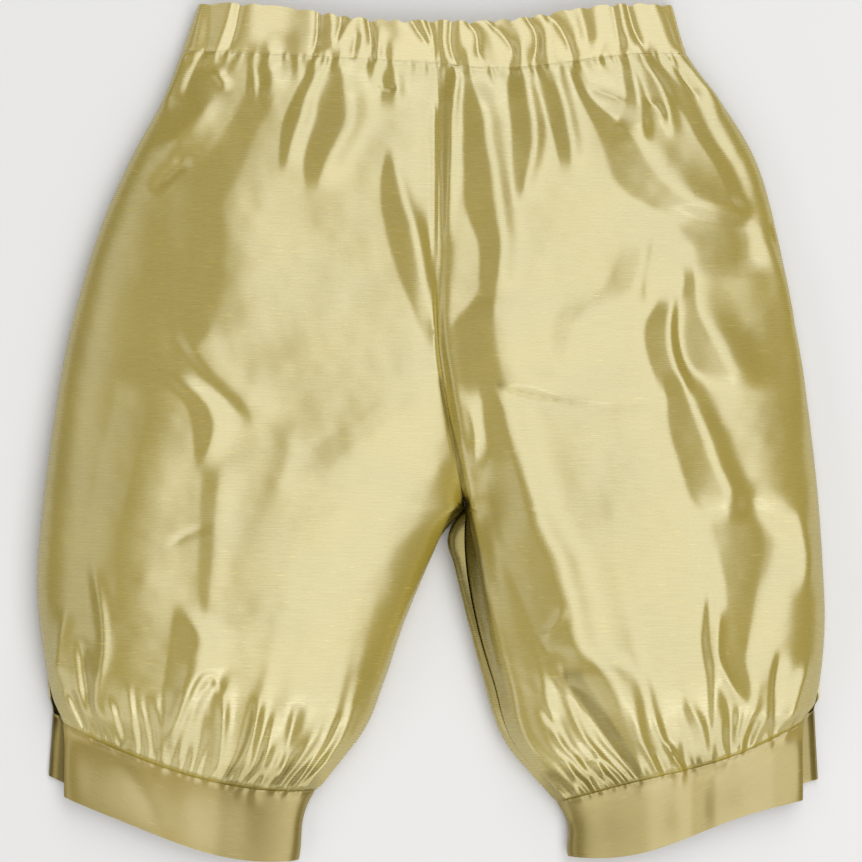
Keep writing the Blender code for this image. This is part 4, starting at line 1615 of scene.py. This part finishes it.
@dataclass(frozen=True)
class DupionWeaveAndShade:
    """Shared shader group: uneven weft threads, slubs, faint random changes of tone, and painted
    shade.
    """

    thread: float = 0.45       # distance between two coarse weft threads, in millimetres
    run: float = 14.0          # length in which a weft thread keeps its thickness
    weft_detail: float = 2.0   # layers of finer noise
    warp_thread: float = 0.27  # the finer warp
    warp_run: float = 7.0
    warp_detail: float = 1.0
    warp_relief: float = 0.35  # relief of the warp against the weft's
    slub_run: float = 8.0
    slub_pitch: float = 0.8
    slub_from: tuple[float, float] = (0.75, 0.82)      # noise in which a slub starts
    slub_relief: float = 1.6
    slub_tone: float = 0.26
    cloud: tuple[float, float] = (46.0, 30.0)          # size of the faint changes of shade
    cloud_detail: float = 1.0
    cloud_noise: tuple[float, float] = (0.3, 0.7)
    cloud_tone: tuple[float, float] = (0.96, 1.04)
    weft_noise: tuple[float, float] = (0.25, 0.75)
    weft_tone: tuple[float, float] = (0.96, 1.035)
    weft_gloss: tuple[float, float] = (0.04, -0.04)    # roughness added on thin and thick threads
    # Painted shade: where the shade attribute is high, the colour is darkened and the reflection takes
    # on the dark gold.
    shade_tone: tuple[float, float] = (1.0, 0.22)      # colour in the open and deep under a fold
    shade_metal: tuple[float, float] = (0.12, 1.0)     # how much the reflection takes the colour

    def build(self) -> bpy.types.NodeTree:
        """Makes the group.

        Returns:
            The group, with outputs Colour, Roughness, Relief and Metallic.
        """
        tree = bpy.data.node_groups.new("dupion_weave_and_painted_shade", "ShaderNodeTree")
        for name, way, kind in (
            ("Place", "INPUT", "NodeSocketVector"),
            ("Colour", "INPUT", "NodeSocketColor"),
            ("Roughness", "INPUT", "NodeSocketFloat"),
            ("Shade", "INPUT", "NodeSocketFloat"),
            ("Colour", "OUTPUT", "NodeSocketColor"),
            ("Roughness", "OUTPUT", "NodeSocketFloat"),
            ("Relief", "OUTPUT", "NodeSocketFloat"),
            ("Metallic", "OUTPUT", "NodeSocketFloat"),
        ):
            tree.interface.new_socket(name, in_out=way, socket_type=kind)
        source = tree.nodes.new("NodeGroupInput").outputs
        sink = tree.nodes.new("NodeGroupOutput").inputs
        steps = ShaderSteps(tree, source["Place"])

        weft = steps.noise(self.run, self.thread, self.weft_detail)
        warp = steps.noise(self.warp_thread, self.warp_run, self.warp_detail)
        slub = steps.noise(self.slub_run, self.slub_pitch, detail=0.0)
        slub = steps.ranged(slub, self.slub_from, (0.0, 1.0))
        relief = steps.sum(weft, steps.product(warp, self.warp_relief))
        relief = steps.sum(relief, steps.product(slub, self.slub_relief))

        tone = steps.ranged(weft, self.weft_noise, self.weft_tone)
        tone = steps.sum(tone, steps.product(slub, self.slub_tone))
        clouds = steps.noise(*self.cloud, self.cloud_detail)
        clouds = steps.ranged(clouds, self.cloud_noise, self.cloud_tone)
        tone = steps.product(tone, clouds)
        # Painted shade darkens the colour.
        tone = steps.product(tone, steps.ranged(source["Shade"], (0.0, 1.0), self.shade_tone))
        colour = tree.nodes.new("ShaderNodeVectorMath")
        colour.operation = "SCALE"
        tree.links.new(source["Colour"], colour.inputs[0])
        tree.links.new(tone, colour.inputs["Scale"])

        gloss = steps.ranged(weft, self.weft_noise, self.weft_gloss)
        tree.links.new(colour.outputs["Vector"], sink["Colour"])
        tree.links.new(steps.sum(source["Roughness"], gloss), sink["Roughness"])
        tree.links.new(relief, sink["Relief"])
        # Painted shade also turns the reflection towards the dark gold colour.
        tree.links.new(steps.ranged(source["Shade"], (0.0, 1.0), self.shade_metal), sink["Metallic"])
        return tree


@dataclass(frozen=True)
class Softbox:
    """A studio light: place and size in metres, power in watts."""

    name: str
    place: tuple[float, float, float]
    size: tuple[float, float]
    power: float

    def build(self) -> None:
        """Makes the light, turned to the garment."""
        data = bpy.data.lights.new(self.name, "AREA")
        data.shape = "RECTANGLE"
        data.size, data.size_y = self.size
        data.energy = self.power
        light = bpy.data.objects.new(self.name, data)
        light.location = self.place
        back = Vector(self.place).normalized()
        right = Vector((0.0, 1.0, 0.0)).cross(back).normalized()
        turn = Matrix((right, back.cross(right), back)).transposed()
        light.rotation_euler = turn.to_euler()
        bpy.context.scene.collection.objects.link(light)


@dataclass(frozen=True)
class Studio:
    """Floor, lights, world and camera."""

    sensor: float = 36.0       # width of the camera's sensor, in millimetres
    floor_size: float = 6.0    # metres
    floor_drop: float = 0.0005
    floor_colour: tuple[float, float, float] = (0.74, 0.735, 0.73)
    floor_roughness: float = 0.9
    floor_gloss: float = 0.1
    world: float = 0.2         # strength of the light from all round
    softboxes: tuple[Softbox, ...] = (
        Softbox("top_softbox", (0.65, 0.05, 2.2), (2.1, 5.2), 66.5),
        Softbox("high_softbox", (0.5, 2.7, 1.2), (2.0, 2.0), 20.0),
        Softbox("low_softbox", (0.5, -2.6, 1.2), (2.0, 2.2), 24.0),
        Softbox("corner_softbox", (-1.9, -2.0, 1.1), (1.8, 1.8), 11.0),
        Softbox("left_softbox", (-2.0, 0.2, 1.7), (0.9, 2.4), 6.0),
    )

    def floor(self) -> None:
        """Makes the pale floor that the garment lies on."""
        mesh = bmesh.new()
        bmesh.ops.create_grid(mesh, x_segments=1, y_segments=1, size=self.floor_size / 2)
        data = bpy.data.meshes.new("studio_floor")
        mesh.to_mesh(data)
        mesh.free()
        paint = bpy.data.materials.new("studio_paint")
        paint.use_nodes = True
        shader = paint.node_tree.nodes["Principled BSDF"]
        shader.inputs["Base Color"].default_value = (*self.floor_colour, 1.0)
        shader.inputs["Roughness"].default_value = self.floor_roughness
        shader.inputs["Specular IOR Level"].default_value = self.floor_gloss
        data.materials.append(paint)
        floor = bpy.data.objects.new("studio_floor", data)
        floor.location.z = -self.floor_drop
        bpy.context.scene.collection.objects.link(floor)

    def camera(self) -> None:
        """Makes the camera, straight above the garment, at the photograph's scale."""
        data = bpy.data.cameras.new("camera")
        data.sensor_width = self.sensor
        field = PHOTO.size * PHOTO.pixel * MM
        data.lens = self.sensor * (CAMERA_HEIGHT - CAMERA_FOCUS) * MM / field
        camera = bpy.data.objects.new("camera", data)
        middle = PHOTO.size / 2 - 0.5
        x, y = PHOTO.place(middle, middle)
        camera.location = Vector((x - MIDPOINT[0], y - MIDPOINT[1], CAMERA_HEIGHT)) * MM
        bpy.context.scene.collection.objects.link(camera)
        bpy.context.scene.camera = camera

    def build(self) -> None:
        """Makes everything round the garment."""
        self.camera()
        self.floor()
        for softbox in self.softboxes:
            softbox.build()
        world = bpy.data.worlds.new("studio")
        world.use_nodes = True
        air = world.node_tree.nodes["Background"]
        air.inputs["Color"].default_value = (1.0, 1.0, 1.0, 1.0)
        air.inputs["Strength"].default_value = self.world
        bpy.context.scene.world = world
        bpy.context.scene.view_settings.view_transform = "Standard"


PANEL_SILK = DupionFinish("gold_dupion_silk", (0.40, 0.297, 0.028), 0.27)
# The casing's silk is a lighter, creamier copy of the panel silk: painted light on the casing.
LIT_CASING_SILK = DupionFinish("casing_dupion_silk_lit", (0.46, 0.345, 0.06), 0.27)
# The knee bands' silk is a darker, less glossy copy of the panel silk: painted shade on the bands.
SHADED_BAND_SILK = DupionFinish("band_dupion_silk_shaded", (0.36, 0.26, 0.042), 0.3, ior=2.15)

FRONT = PanelSizes(176, 270, SheetCut(0.27, 0.35, 0.078))
BACK = PanelSizes(90, 140, SheetCut(0.27, 0.35, 0.070))
CASING_FRONT = PanelSizes(150, 34, SheetCut(0.33, 0.026, 0.0085))
CASING_BACK = PanelSizes(90, 18, SheetCut(0.31, 0.026, 0.0079))
KNEE = PanelSizes(120, 40, SheetCut(0.25, 0.036, 0.0089))


class Breeches:
    """The whole garment."""

    def __init__(self) -> None:
        """Makes the finishes that the pieces share."""
        weave = DupionWeaveAndShade().build()
        self.panel_silk = PANEL_SILK.build(weave)
        self.lit_casing_silk = LIT_CASING_SILK.build(weave)
        self.shaded_band_silk = SHADED_BAND_SILK.build(weave)

    def build(self) -> list[bpy.types.Object]:
        """Makes every piece.

        Returns:
            The pieces.
        """
        pieces = []
        for side in Side:
            pieces.append(TrouserPanel(side, Face.FRONT, FRONT).build(self.panel_silk))
            pieces.append(TrouserPanel(side, Face.BACK, BACK).build(self.panel_silk))
            pieces.append(KneeBand(side, KNEE).build(self.shaded_band_silk))
        pieces.append(Waistband(Face.FRONT, CASING_FRONT).build(self.lit_casing_silk))
        pieces.append(Waistband(Face.BACK, CASING_BACK).build(self.lit_casing_silk))
        return pieces


def main() -> None:
    """Builds the studio and the garment."""
    logging.basicConfig(level=logging.INFO, format="%(name)s: %(message)s")
    Studio().build()
    pieces = Breeches().build()
    LOG.info("%d pieces", len(pieces))


if __name__ == "__main__":
    main()
